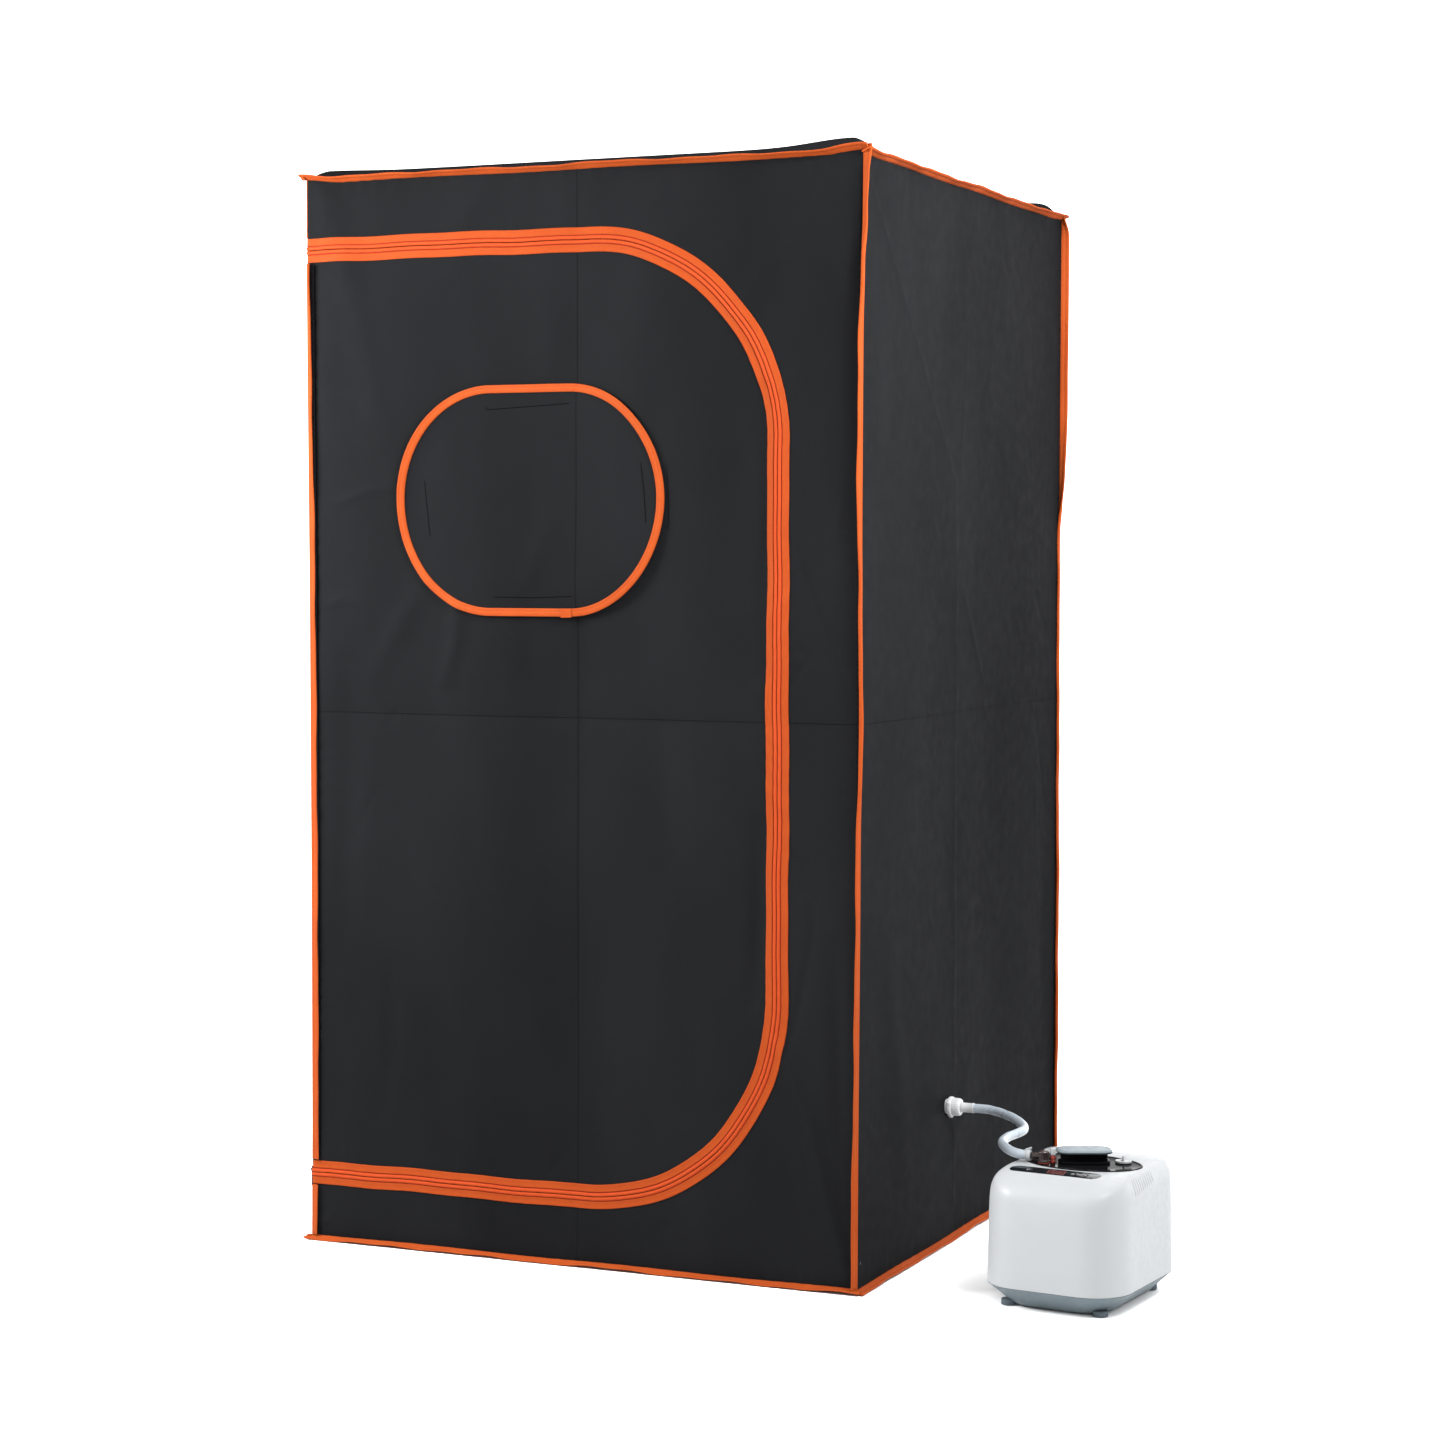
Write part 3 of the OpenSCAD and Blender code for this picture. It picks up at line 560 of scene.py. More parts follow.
FRONT_FOLDS = [
    crease([(0.004, 1.79), (0.004, 1.46), (0.012, 0.92), (-0.002, 0.10)], 75, -4.5, 26),
    crease([(-0.49, 0.905), (0.0, 0.90), (0.49, 0.895)], 14, -1.0),
    # upper part
    soft([(-0.475, 1.785), (-0.43, 1.66), (-0.385, 1.50), (-0.345, 1.37)], 30, 4),
    soft([(-0.34, 1.66), (-0.31, 1.30), (-0.34, 1.02)], 110, 8),
    soft([(-0.07, 1.64), (-0.045, 1.55), (-0.03, 1.44)], 38, 3),
    soft([(0.145, 1.64), (0.12, 1.50), (0.115, 1.34)], 38, 4),
    soft([(0.43, 1.755), (0.355, 1.64), (0.30, 1.56)], 34, 7),
    soft([(0.485, 1.66), (0.42, 1.52), (0.385, 1.40)], 26, 4),
    soft([(0.18, 1.765), (0.12, 1.72)], 22, 2.5),
    soft([(-0.16, 1.775), (-0.21, 1.71)], 22, 2),
    soft([(0.23, 1.47), (0.25, 1.25), (0.235, 1.0)], 36, 4),
    soft([(0.328, 1.43), (0.332, 1.20), (0.328, 0.98)], 17, -5),
    crease([(0.317, 1.34), (0.325, 1.25), (0.321, 1.15)], 6, 1.6),
    crease([(0.312, 1.10), (0.322, 1.02), (0.318, 0.95)], 6, 1.2),
    crease([(-0.443, 1.255), (-0.383, 1.274), (-0.324, 1.28)], 8, 2),
    crease([(-0.475, 1.08), (-0.43, 1.095), (-0.40, 1.085)], 8, 1.5),
    # middle and lower part
    soft([(-0.215, 1.09), (-0.215, 1.03), (-0.235, 0.96)], 15, 4.5),
    soft([(-0.274, 1.12), (-0.37, 0.978)], 22, 3),
    soft([(-0.12, 1.06), (-0.09, 0.98)], 18, 2.5),
    soft([(-0.425, 0.98), (-0.43, 0.75), (-0.445, 0.48)], 28, -6),
    soft([(-0.17, 0.95), (-0.145, 0.60), (-0.13, 0.30)], 95, 8),
    soft([(0.07, 0.92), (0.075, 0.60), (0.11, 0.28)], 40, 4),
    soft([(0.155, 0.88), (0.165, 0.66), (0.205, 0.42), (0.215, 0.28)], 34, -8),
    soft([(0.325, 0.74), (0.325, 0.60), (0.32, 0.46)], 17, -5.5),
    soft([(-0.348, 0.48), (-0.343, 0.341), (-0.358, 0.23)], 18, -3.5),
    crease([(-0.371, 0.776), (-0.416, 0.696)], 9, -2),
    crease([(-0.326, 0.913), (-0.345, 0.885)], 7, -1.5),
    soft([(0.115, 0.31), (0.17, 0.186)], 18, 2.5),
    crease([(-0.018, 0.184), (-0.053, 0.143)], 6, -1.6),
    crease([(-0.456, 0.215), (-0.43, 0.151)], 6, 1.6),
    # strip beside the zip and the lower corners
    crease([(0.388, 1.184), (0.428, 1.075), (0.487, 0.943)], 7, -2.6, 12),
    crease([(0.385, 1.026), (0.415, 1.008), (0.386, 0.968)], 5, -1.4),
    crease([(0.387, 1.371), (0.407, 1.256)], 7, 1.6),
    crease([(0.47, 1.26), (0.445, 1.18)], 8, 1.2),
    crease([(0.383, 0.696), (0.416, 0.624), (0.42, 0.575), (0.397, 0.451), (0.378, 0.382)], 7, -3.2),
    crease([(0.384, 0.76), (0.405, 0.69)], 6, 1.6),
    soft([(0.364, 0.387), (0.418, 0.268), (0.464, 0.087), (0.488, 0.02)], 12, 4.5),
    soft([(0.352, 0.288), (0.412, 0.144), (0.465, 0.038)], 26, 3),
    soft([(0.455, 0.55), (0.462, 0.40), (0.47, 0.25)], 16, -3),
    crease([(-0.485, 0.022), (-0.457, 0.05)], 6, 2),
    crease([(0.17, 0.085), (0.14, 0.06)], 5, -1.2),
    crease([(0.485, 1.785), (0.455, 1.74)], 8, 2),
]
SIDE_FOLDS = [
    crease([(-0.51, 1.78), (-0.469, 1.734), (-0.066, 1.285)], 3, 1.9, 9),
    crease([(-0.073, 1.29), (-0.068, 0.80), (-0.066, 0.06)], 4, 2.0, 12),
    crease([(-0.048, 1.291), (-0.03, 1.42), (-0.015, 1.565)], 4, 1.0),
    crease([(0.027, 1.373), (0.218, 1.67)], 5, 0.7),
    crease([(-0.044, 1.115), (0.094, 0.939)], 8, 1.9),
    crease([(0.357, 1.112), (0.469, 1.005)], 10, -2.2),
    crease([(0.384, 0.876), (0.455, 0.686)], 10, -2.6),
    crease([(0.074, 0.921), (0.47, 0.899)], 11, -1.1),
    crease([(0.387, 0.77), (0.39, 0.625)], 8, 1.6),
    soft([(0.44, 0.60), (0.45, 0.30)], 30, -4),
    soft([(0.12, 0.92), (0.14, 0.30)], 120, -7),
    soft([(-0.30, 1.35), (-0.28, 0.5)], 120, 5),
    soft([(0.25, 1.62), (0.28, 1.15)], 110, 4),
    soft([(-0.40, 0.55), (-0.30, 0.15)], 40, 3),
    soft([(0.02, 0.25), (-0.10, 0.12)], 30, 2),
]
REAR_FOLDS = [
    crease([(0.0, 1.78), (-0.006, 0.9), (0.002, 0.03)], 60, -4, 24),
    crease([(-0.49, 0.90), (0.49, 0.905)], 14, -1.2),
    soft([(-0.47, 1.76), (-0.35, 1.45), (-0.30, 1.2)], 34, 5),
    soft([(0.46, 1.77), (0.37, 1.5), (0.34, 1.25)], 30, 5),
    soft([(-0.24, 1.3), (-0.20, 0.5)], 90, 7),
    soft([(0.22, 1.1), (0.25, 0.4)], 80, 6),
    soft([(0.10, 0.85), (0.13, 0.2)], 30, -5),
    crease([(-0.40, 0.6), (-0.33, 0.42), (-0.35, 0.25)], 8, -2.4),
    crease([(0.36, 0.33), (0.46, 0.05)], 12, 3),
]


def unevenness(u, v):
    """Low swells that no taut cloth is free of."""
    return 0.0011 * (
        np.sin(u * 13 + 0.6 * np.sin(v * 5)) * np.cos(v * 7.5 + 1.1)
        + 0.5 * np.sin(u * 27 + v * 9 + 2.0) * np.sin(v * 21 - u * 6)
    )


def pucker(distance, along, height=0.7 * MM, reach=22 * MM):
    """Small gathers beside a seam, dying out over reach."""
    ripple = np.sin(along * 190 + 2.2 * np.sin(along * 31)) * (0.6 + 0.4 * np.sin(along * 17 + 1))
    return height * ripple * np.exp(-np.maximum(distance, 0) / reach)


def zip_distance(x, z):
    """Distance outward from the middle of the zip; below 0 on the door."""
    centre_z = np.clip(z, ZIP_BOTTOM + ZIP_R, ZIP_TOP - ZIP_R)
    return np.hypot(np.maximum(x - (ZIP_X - ZIP_R), 0), z - centre_z) - ZIP_R


def panel_relief(u, v, half, folds):
    """How far a wall's cloth stands out of its flat plane at (u, v), with v the height."""
    edge = np.minimum(np.minimum(u + half, half - u), np.minimum(v, TOP - v))
    along = np.where(np.minimum(v, TOP - v) < np.minimum(u + half, half - u), u, v)
    height = unevenness(u, v) + sum(fold.at(u, v) for fold in folds)
    return height * smooth_step(edge / (38 * MM)) + pucker(edge, along) * smooth_step(edge / (5 * MM))


def front_relief(x, z):
    """The front's folds are deep, but calmer over the window, whose pane lies flat behind them."""
    beside_zip = np.abs(zip_distance(x, z))
    along = np.where(z > TOP / 2, x - z, x + z)
    depth = 0.3 + 1.3 * smooth_step((oval_distance(x, z) + 45 * MM) / (65 * MM))
    gathers = pucker(beside_zip - ZIP_HALF, along, 0.5 * MM, 16 * MM)
    return depth * panel_relief(x, z, HALF_W, FRONT_FOLDS) + gathers


def lean(points):
    """Small drift of the cover's front uprights, where the cloth is pulled off its straight line."""
    points = np.array(points, dtype=float)
    x, y, z = points.T
    at_front = np.exp(-((y + HALF_D) / 0.16) ** 2)
    right = np.interp(z, [0, 0.25, 0.6, 1.1, 1.8], [-3.2, -2.8, -1.2, -1.0, 0.5])
    left = np.interp(z, [0, 0.2, 0.6, 1.1, 1.5, 1.8], [0, 1.8, 3.0, 2.2, 0.2, 0])
    right_share, left_share = (np.exp(-((x - edge) / 0.12) ** 2) for edge in (HALF_W, -HALF_W))
    points[:, 0] = x + MM * at_front * (right * right_share + left * left_share)
    return points


def on_front(x, z, lift=0.0):
    """Points on the front face's cloth, lift in front of it."""
    return lean(np.stack([x, FRONT - front_relief(x, z) - lift, z], axis=1))


# ---- flat outlines filled with triangles ----

def line(a, b, step):
    """Points from a up to, not including, b."""
    count = max(1, round(math.dist(a, b) / step))
    return [tuple(np.array(a) + (np.array(b) - a) * i / count) for i in range(count)]


def polygon(corners, step):
    return [p for a, b in zip(corners, corners[1:] + corners[:1]) for p in line(a, b, step)]


def rectangle(low, high, step):
    return polygon([low, (high[0], low[1]), high, (low[0], high[1])], step)


def rectangle_depth(u, v, low, high):
    """Distance inside a rectangle's nearest side."""
    return np.minimum(np.minimum(u - low[0], high[0] - u), np.minimum(v - low[1], high[1] - v))


def arc(centre, radius, start, end, step):
    """Points on an arc between two angles in degrees, without its last point."""
    count = max(3, round(abs(math.radians(end - start)) * radius / step))
    angles = np.radians(start + (end - start) * np.arange(count) / count)
    return [(centre[0] + radius * math.cos(a), centre[1] + radius * math.sin(a)) for a in angles]


def door_outline(grow, left, step):
    """The door's outline, from its lower left corner round the two arcs to its upper left corner."""
    centre_x, radius = ZIP_X - ZIP_R, ZIP_R + grow
    low, high = ZIP_BOTTOM - grow, ZIP_TOP + grow
    return (
        line((left, low), (centre_x, low), step)
        + arc((centre_x, ZIP_BOTTOM + ZIP_R), radius, -90, 0, step)
        + line((ZIP_X + grow, ZIP_BOTTOM + ZIP_R), (ZIP_X + grow, ZIP_TOP - ZIP_R), step)
        + arc((centre_x, ZIP_TOP - ZIP_R), radius, 0, 90, step)
        + line((centre_x, high), (left, high), step)
    )


def oval_outline(inset, step):
    """The window flap's outline, made smaller by inset: two straight sides joined by elliptical ends."""
    half_w, half_h = FLAP_HALF - inset
    reach = half_w - FLAP_FLAT
    angle = np.radians(np.arange(0, 360, 1.5) + 0.75)
    x = FLAP[0] + np.sign(np.cos(angle)) * FLAP_FLAT + reach * np.cos(angle)
    z = FLAP[2] + half_h * np.sin(angle)
    points = np.column_stack([x, z])
    points = np.concatenate([points, points[:1]])
    travel = travel_along(points)
    even = np.linspace(0, travel[-1], round(travel[-1] / step) + 1)[:-1]
    return list(zip(np.interp(even, travel, points[:, 0]), np.interp(even, travel, points[:, 1])))


def oval_distance(x, z, inset=0.0):
    """Roughly the distance outward from the flap's outline."""
    half_w, half_h = FLAP_HALF - inset
    reach = half_w - FLAP_FLAT
    dx = np.maximum(np.abs(x - FLAP[0]) - FLAP_FLAT, 0) / reach
    dz = np.abs(z - FLAP[2]) / half_h
    return (np.hypot(dx, dz) - 1) * reach


def fill_outline(loops, depth, step):
    """Flat points and triangles that fill evenly the region where depth(u, v) > 0, bounded by the loops."""
    edges, points = [], []
    for loop in loops:
        first, count = len(points), len(loop)
        edges += [(first + i, first + (i + 1) % count) for i in range(count)]
        points += loop
    border = np.array(points)
    low, high = border.min(axis=0), border.max(axis=0)
    rows = np.arange(low[1], high[1], step * 0.866)
    columns = np.arange(low[0], high[0] + step, step)
    u, v = np.meshgrid(columns, rows)
    u = (u + (np.arange(len(rows)) % 2 * step / 2)[:, None]).ravel()
    v = v.ravel()
    keep = depth(u, v) > 0.45 * step
    everything = [Vector(p) for p in points] + [Vector(p) for p in zip(u[keep], v[keep])]
    flat, _, faces, *_ = geometry.delaunay_2d_cdt(everything, edges, [], 0, 1e-7)
    flat = np.array([tuple(p) for p in flat])
    faces = np.array(faces)
    centres = flat[faces].mean(axis=1)
    faces = faces[depth(centres[:, 0], centres[:, 1]) > 0]
    return flat, faces


# ---- the cover's cloth ----

STEP = 6 * MM
COARSE_STEP = 9 * MM
COVER = ["cover_fabric", "silver_lining"]
FORWARD = (0, -1, 0)
SEAM = 1 * MM  # how far the cloth ends inside the cabin's edges
UNDER_TAPE = 9 * MM  # how far the cloth ends short of the middle of the zip
FOLD_START, FOLD_END = FOLD_X - 7 * MM, FOLD_X + 9 * MM  # the stretch about the door's fold line, whose start bounds the door's cloth
PORT_HOLE = 14 * MM


def cloth(name, panel, place, facing, slots, thickness=CLOTH, body=ROOT, replaced=(), slot=None):
    """A cloth piece: a filled outline put in place(u, v), turned to facing and thickened inwards."""
    flat, faces = panel
    points = place(flat[:, 0], flat[:, 1])
    a, b, c = (points[faces[:, i]] for i in range(3))
    if (np.cross(b - a, c - a).sum(axis=0) @ np.array(facing)) < 0:
        faces = faces[:, ::-1]
    mesh = new_mesh(name, points, [tuple(f) for f in faces], flat)
    piece = link(name, mesh, slots, None, replaced, slot)
    solid = piece.modifiers.new("thickness", "SOLIDIFY")
    solid.thickness = thickness
    solid.offset = -1
    solid.use_rim = True
    solid.material_offset = 1 if len(slots) > 1 else 0
    solid.use_even_offset = False
    settle_modifiers(piece)
    if body:
        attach(piece, body)
    return piece


def wall_corners(half):
    """Lower left and upper right corner of a wall's cloth that reaches half to each side."""
    return (-half + SEAM, SEAM), (half - SEAM, TOP - SEAM)


def door_loop(grow):
    """The door's outline, closed along the fold by the left front seam."""
    fold = line((FOLD_START, ZIP_TOP + grow), (FOLD_START, ZIP_BOTTOM - grow), STEP)
    return door_outline(grow, FOLD_START, STEP) + fold


def door_depth(x, z, grow):
    """Distance inside that outline."""
    return np.minimum(grow - zip_distance(x, z), x - FOLD_START)


def bend_at_fold(piece):
    """Bakes into its mesh the placement of a piece that reaches from the cabin onto the door."""
    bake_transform(piece)


def make_front():
    low, high = wall_corners(HALF_W)

    def depth(x, z):
        return np.minimum(rectangle_depth(x, z, low, high), -door_depth(x, z, UNDER_TAPE))

    panel = fill_outline([rectangle(low, high, STEP), door_loop(UNDER_TAPE)], depth, STEP)
    front = cloth("front_panel_cloth", panel, on_front, FORWARD, COVER, replaced=["front_panel"])


def make_door():
    window = 62 * MM  # how far the window's edge is inside the flap's

    def depth(x, z):
        return np.minimum(door_depth(x, z, -UNDER_TAPE), oval_distance(x, z, window))

    panel = fill_outline([door_loop(-UNDER_TAPE), oval_outline(window, STEP)], depth, STEP)
    door = cloth("door_cloth", panel, on_front, FORWARD, COVER, body=None, replaced=["door_panel"])
    bend_at_fold(door)


def port_distance(y, z):
    return np.hypot(y - PORT[1], z - PORT[2])


def make_wall(node, half, folds, facing, step, spot):
    """A flat wall from the floor seam to the roof seam; spot gives the place of (u, v, distance outward)."""
    has_port = node == "right_wall"
    low, high = wall_corners(half)

    def depth(u, v):
        inside = rectangle_depth(u, v, low, high)
        return np.minimum(inside, port_distance(u, v) - PORT_HOLE) if has_port else inside

    def place(u, v):
        out = panel_relief(u, v, half, folds)
        if has_port:
            out = out * smooth_step((port_distance(u, v) - 20 * MM) / (60 * MM))
        return lean(np.stack(spot(u, v, out), axis=1))

    loops = [rectangle(low, high, step)]
    if has_port:
        loops.append(arc((PORT[1], PORT[2]), PORT_HOLE, 0, 360, 2 * MM))
    wall = cloth(node + "_cloth", fill_outline(loops, depth, step), place, facing, COVER, replaced=[node])


def make_walls():
    make_wall("right_wall", HALF_D, SIDE_FOLDS, (1, 0, 0), STEP,
              lambda y, z, out: (HALF_W + out, y, z))
    make_wall("left_wall", HALF_D, SIDE_FOLDS, (-1, 0, 0), COARSE_STEP,
              lambda y, z, out: (-HALF_W - out, y, z))
    make_wall("rear_wall", HALF_W, REAR_FOLDS, (0, 1, 0), COARSE_STEP,
              lambda x, z, out: (x, HALF_D + out, z))


def roof_height(x, y):
    """The roof's cloth: up over the rods from the seam, higher over the corner connectors, slack between."""
    edge = np.minimum(HALF_W - np.abs(x), HALF_D - np.abs(y))
    far_edge = np.maximum(HALF_W - np.abs(x), HALF_D - np.abs(y))
    rise = 10 * MM * smooth_step(edge / (30 * MM))
    near_corner = np.exp(-(np.maximum(far_edge - 30 * MM, 0) / (90 * MM)) ** 2)
    lump = 11 * MM * near_corner * smooth_step(edge / (22 * MM))
    lump *= np.where((x < 0) & (y < 0), 0.35, 1)
    sag = 9 * MM * smooth_step((edge - 30 * MM) / 0.35)
    ridges = (
        1.5 * MM * np.exp(-np.abs(x - 0.004) / (18 * MM))
        + 1.2 * MM * np.exp(-np.abs(y + 0.01) / (15 * MM))
        + 0.8 * MM * np.sin(x * 23 + 2 * y) * np.sin(y * 19 - x * 5)
    )
    return TOP + rise + lump - sag + ridges * smooth_step((edge - 20 * MM) / (40 * MM))


def floor_height(x, y):
    return 3 * MM + 0.4 * MM * np.sin(x * 30) * np.sin(y * 26)


def make_roof_and_floor():
    high = (HALF_W - SEAM / 2, HALF_D - SEAM / 2)
    low = (-high[0], -high[1])

    def depth(x, y):
        return rectangle_depth(x, y, low, high)

    panel = fill_outline([rectangle(low, high, STEP)], depth, STEP)
    roof = cloth("roof_cloth", panel, lambda x, y: lean(np.stack([x, y, roof_height(x, y)], axis=1)),
                 (0, 0, 1), ["roof_fabric", "silver_lining"], replaced=["roof_panel"], slot="cover_fabric")
    panel = fill_outline([rectangle(low, high, STEP)], depth, 3 * STEP)
    floor = cloth("floor_cloth", panel, lambda x, y: np.stack([x, y, floor_height(x, y)], axis=1),
                  (0, 0, 1), ["silver_lining", "cover_fabric"], replaced=["floor_panel"], slot="cover_fabric")


# ---- strips that follow a path ----

def sweep(path, outward, profile, material):
    """A strip along path. outward has one direction per path point; profile holds (distance along outward,
    height above it) for each point round the strip, for all of the path or for each of its points."""
    path, outward = np.array(path), np.array(outward)
    tangent = unit(np.gradient(path, axis=0))
    outward = unit(outward - (outward * tangent).sum(axis=1)[:, None] * tangent)
    upward = np.cross(tangent, outward)
    profile = np.broadcast_to(profile, (len(path), *profile.shape[-2:]))
    rings = [spot + offset[:, :1] * out + offset[:, 1:] * up
             for spot, offset, out, up in zip(path, profile, outward, upward)]
    across = profile[0][:, 0] / profile[0][:, 0].max()
    uvs = np.array([(u, v) for u in travel_along(path) for v in across])
    return link("strip", loft("strip", rings, True, uvs, sharp=50), [material], None)


# A bound edge: raised lips, and a groove where the stitches pull it in.
FIN_LIPS = [(-0.5, 0.9), (1.0, 1.25), (5.4, 1.4), (6.7, 0.85), (8.3, 0.85), (9.6, 1.4), (13.2, 1.3),
            (14.6, 0.8)]
FIN_PROFILE = np.array(FIN_LIPS + [(15, 0)] + [(reach, -height) for reach, height in reversed(FIN_LIPS)]) * MM
FIN_ROOT = 0.3 * MM  # how far the fins start inside the cabin's edges


def smooth_between(z, heights, values):
    """Values eased between the given heights."""
    heights, values = np.array(heights, dtype=float), np.array(values, dtype=float)
    index = np.clip(np.searchsorted(heights, z) - 1, 0, len(heights) - 2)
    share = (z - heights[index]) / (heights[index + 1] - heights[index])
    return values[index] + (values[index + 1] - values[index]) * smooth_step(share)


def upright_fin(corner, low, high, angles):
    """One stretch of a corner's binding; angles gives heights and the way it points, in degrees.
    It is crumpled thicker where it turns from one side of the seam to the other."""
    z = np.linspace(low, high, max(8, round((high - low) / (7 * MM))))
    degrees = smooth_between(z, *angles)
    heading = np.radians(degrees + 3 * np.sin(z * 23 + corner[0]) + 1.5 * np.sin(z * 57))
    root = np.stack([np.full_like(z, corner[0] * (HALF_W - FIN_ROOT)),
                     np.full_like(z, corner[1] * (HALF_D - FIN_ROOT)), z], axis=1)
    outward = np.stack([np.cos(heading), np.sin(heading), 0.06 * np.sin(z * 41)], axis=1)
    crumple = 1 + 1.3 * np.exp(-((degrees + 68) / 17) ** 2)
    profile = FIN_PROFILE * np.stack([np.ones_like(z), crumple], axis=1)[:, None, :]
    return sweep(lean(root), outward, profile, "binding_tape")


def make_corner_bindings():
    low, high = 9 * MM, TOP - 1 * MM
    half = ZIP_HALF + 2 * MM
    parted = [(low, ZIP_BOTTOM - half), (ZIP_BOTTOM + half, ZIP_TOP - half), (ZIP_TOP + half, high)]
    # the corner, its stretches of tape, and the way that it points: heights and degrees
    corners = [
        ((1, -1), [(low, high + 7 * MM)],
         ([0, 0.1, 0.4, 0.65, 0.93, 1.1, 1.3, 1.48, 1.62, 1.70, 1.76, 1.81],
          [-112, -108, -96, -94, -62, -80, -100, -96, -72, -50, -34, -6])),
        ((-1, -1), parted,
         ([0, 0.2, 0.5, 0.9, 1.2, 1.5, 1.66, 1.69, 1.8], [-30, -20, -22, -24, -28, -42, -50, 100, 100])),
        ((1, 1), [(low, high)],
         ([0, 0.5, 0.9, 1.2, 1.32, 1.45, 1.69, 1.76, 1.8], [-60, -62, -72, -78, -30, 2, 14, 10, -50])),
        ((-1, 1), [(low, high)], ([0, 0.5, 1.0, 1.4, 1.8], [150, 120, 140, 110, 135])),
    ]
    fins = [upright_fin(corner, *span, angles) for corner, spans, angles in corners for span in spans]
    merge(fins, "corner_binding_tape", ROOT, ["corner_bindings"])


def make_edge_bindings(name, node, height, tilt, lifts):
    """Four strips round the cabin at a height, tilted up by an angle; lifts is how far they rise at
    the two ends of each side, where the cloth passes over a corner connector."""
    fins = []
    for side, (start_lift, end_lift) in enumerate(lifts):
        half, across = (HALF_W, HALF_D) if side % 2 == 0 else (HALF_D, HALF_W)
        along = np.linspace(-half - 8 * MM, half + 8 * MM, 160)
        lift = (start_lift * (1 - smooth_step((along + half) / 0.07))
                + end_lift * (1 - smooth_step((half - along) / 0.07))) * MM
        tilts = np.radians(tilt + 900 * lift + 5 * np.sin(along * 29 + side) + 3 * np.sin(along * 71))
        turn = np.array(Matrix.Rotation(side * math.pi / 2, 3, "Z"))
        wave = 0.8 * MM * np.sin(along * 17 + side)
        root = np.stack([along, np.full_like(along, -across + FIN_ROOT), height + lift + wave], axis=1)
        outward = np.stack([np.zeros_like(along), -np.cos(tilts), np.sin(tilts)], axis=1)
        fins.append(sweep(lean(root @ turn.T), outward @ turn.T, FIN_PROFILE, "binding_tape"))
    merge(fins, name, ROOT, [node])


# ---- zip ----

# The frame's half of the zip: tape, groove and coil ridge, as (distance from the middle, height) in mm.
ZIP_PROFILE = [(19.8, 0), (20, 1.0), (19.3, 1.7), (17.6, 1.35), (10.5, 1.25), (8.7, 1.75), (8.0, 1.5),
               (7.5, 0.6), (6.6, 0.6), (6.1, 2.1), (4.8, 2.95), (3.4, 3.1), (2.0, 2.95), (1.0, 2.3),
               (0.5, 1.2), (0.5, 0)]


def zip_path():
    """Middle of the zip from its top end on the left wall round the door to its bottom end: points on
    the unrolled front face, whose x goes on past the corner, and outward directions."""
    left = -HALF_W - 24 * MM
    points = np.array(door_outline(0, left, 5 * MM) + [(left, ZIP_TOP)])
    tangent = unit(np.gradient(points, axis=0))
    return points, np.stack([tangent[:, 1], -tangent[:, 0]], axis=1)


def wrap_corner(x, z, height):
    """A point of the unrolled front face, height above it, carried round the left front corner."""
    radius = 4 * MM
    bend = -HALF_W + radius
    turned = np.clip((bend - x) / radius, 0, math.pi / 2)
    past = np.maximum(bend - radius * math.pi / 2 - x, 0)
    out = radius + height
    shift = np.stack([-out * np.sin(turned), radius - out * np.cos(turned) + past, np.zeros_like(x)], axis=1)
    return on_front(np.maximum(x, bend), z) + shift


def tape_rings(points, normals, profile, place, wobble=0.0):
    """A tape's cross-section, as (distance along the normals, height) in mm, put at each of the points."""
    columns = []
    for across, height in profile:
        spots = points + normals * (np.full(len(points), across * MM) + wobble)[:, None]
        columns.append(place(spots[:, 0], spots[:, 1], height * MM))
    return np.stack(columns, axis=1)


def zip_half(name, sign, body, node):
    """One half of the zip; sign is 1 for the frame's half and -1 for the door's."""
    points, normals = zip_path()
    travel = travel_along(points)
    wobble = 0.7 * MM * np.sin(travel * 19) + 0.5 * MM * np.sin(travel * 47 + 1)
    profile = [(sign * across, height) for across, height in ZIP_PROFILE[::sign]]
    rings = tape_rings(points, normals, profile, wrap_corner, wobble)
    uvs = np.array([(u, abs(across) * MM) for u in travel for across, _ in profile])
    mesh = loft(name, list(rings), True, uvs, sharp=60)
    return link(name, mesh, ["zip_tape"], body, [node], "binding_tape")


def make_zip():
    zip_half("zip_frame_tape_cloth", 1, ROOT, "zip_frame_tape")
    bend_at_fold(zip_half("zip_door_tape_cloth", -1, None, "zip_door_tape"))


# ---- window flap ----

FLAP_FOLDS = [
    crease([(0.004, 1.45), (0.006, 1.06)], 60, -3.2, 20),
    soft([(-0.04, 1.225), (-0.075, 1.15), (-0.11, 1.08)], 20, 3),
    soft([(-0.20, 1.40), (-0.22, 1.15)], 50, 2),
    soft([(0.08, 1.40), (0.09, 1.12)], 40, 1.5),
]


def flap_out(x, z):
    """How far the flap's cloth stands in front of its flat back; its lower right edge hangs free."""
    hold = smooth_step((box("window_flap")[1][2] - z) / (60 * MM))
    curl = 7 * MM * smooth_step((x - FLAP[0] + 0.02) / 0.20) * smooth_step((FLAP[2] + 0.02 - z) / 0.17)
    belly = 1.5 * MM * smooth_step(-oval_distance(x, z) / (60 * MM))
    folds = sum(fold.at(x, z) for fold in FLAP_FOLDS)
    return (curl + belly + folds) * hold + 4.6 * MM


def on_flap(x, z, lift=0.0):
    """Points on the flap's cloth, which lies on the door's, lift in front of it."""
    points = on_front(x, z)
    points[:, 1] -= flap_out(x, z) + lift
    return points


STITCH_PITCH, STITCH_LENGTH, THREAD_R = 4.2 * MM, 2.9 * MM, 0.55 * MM


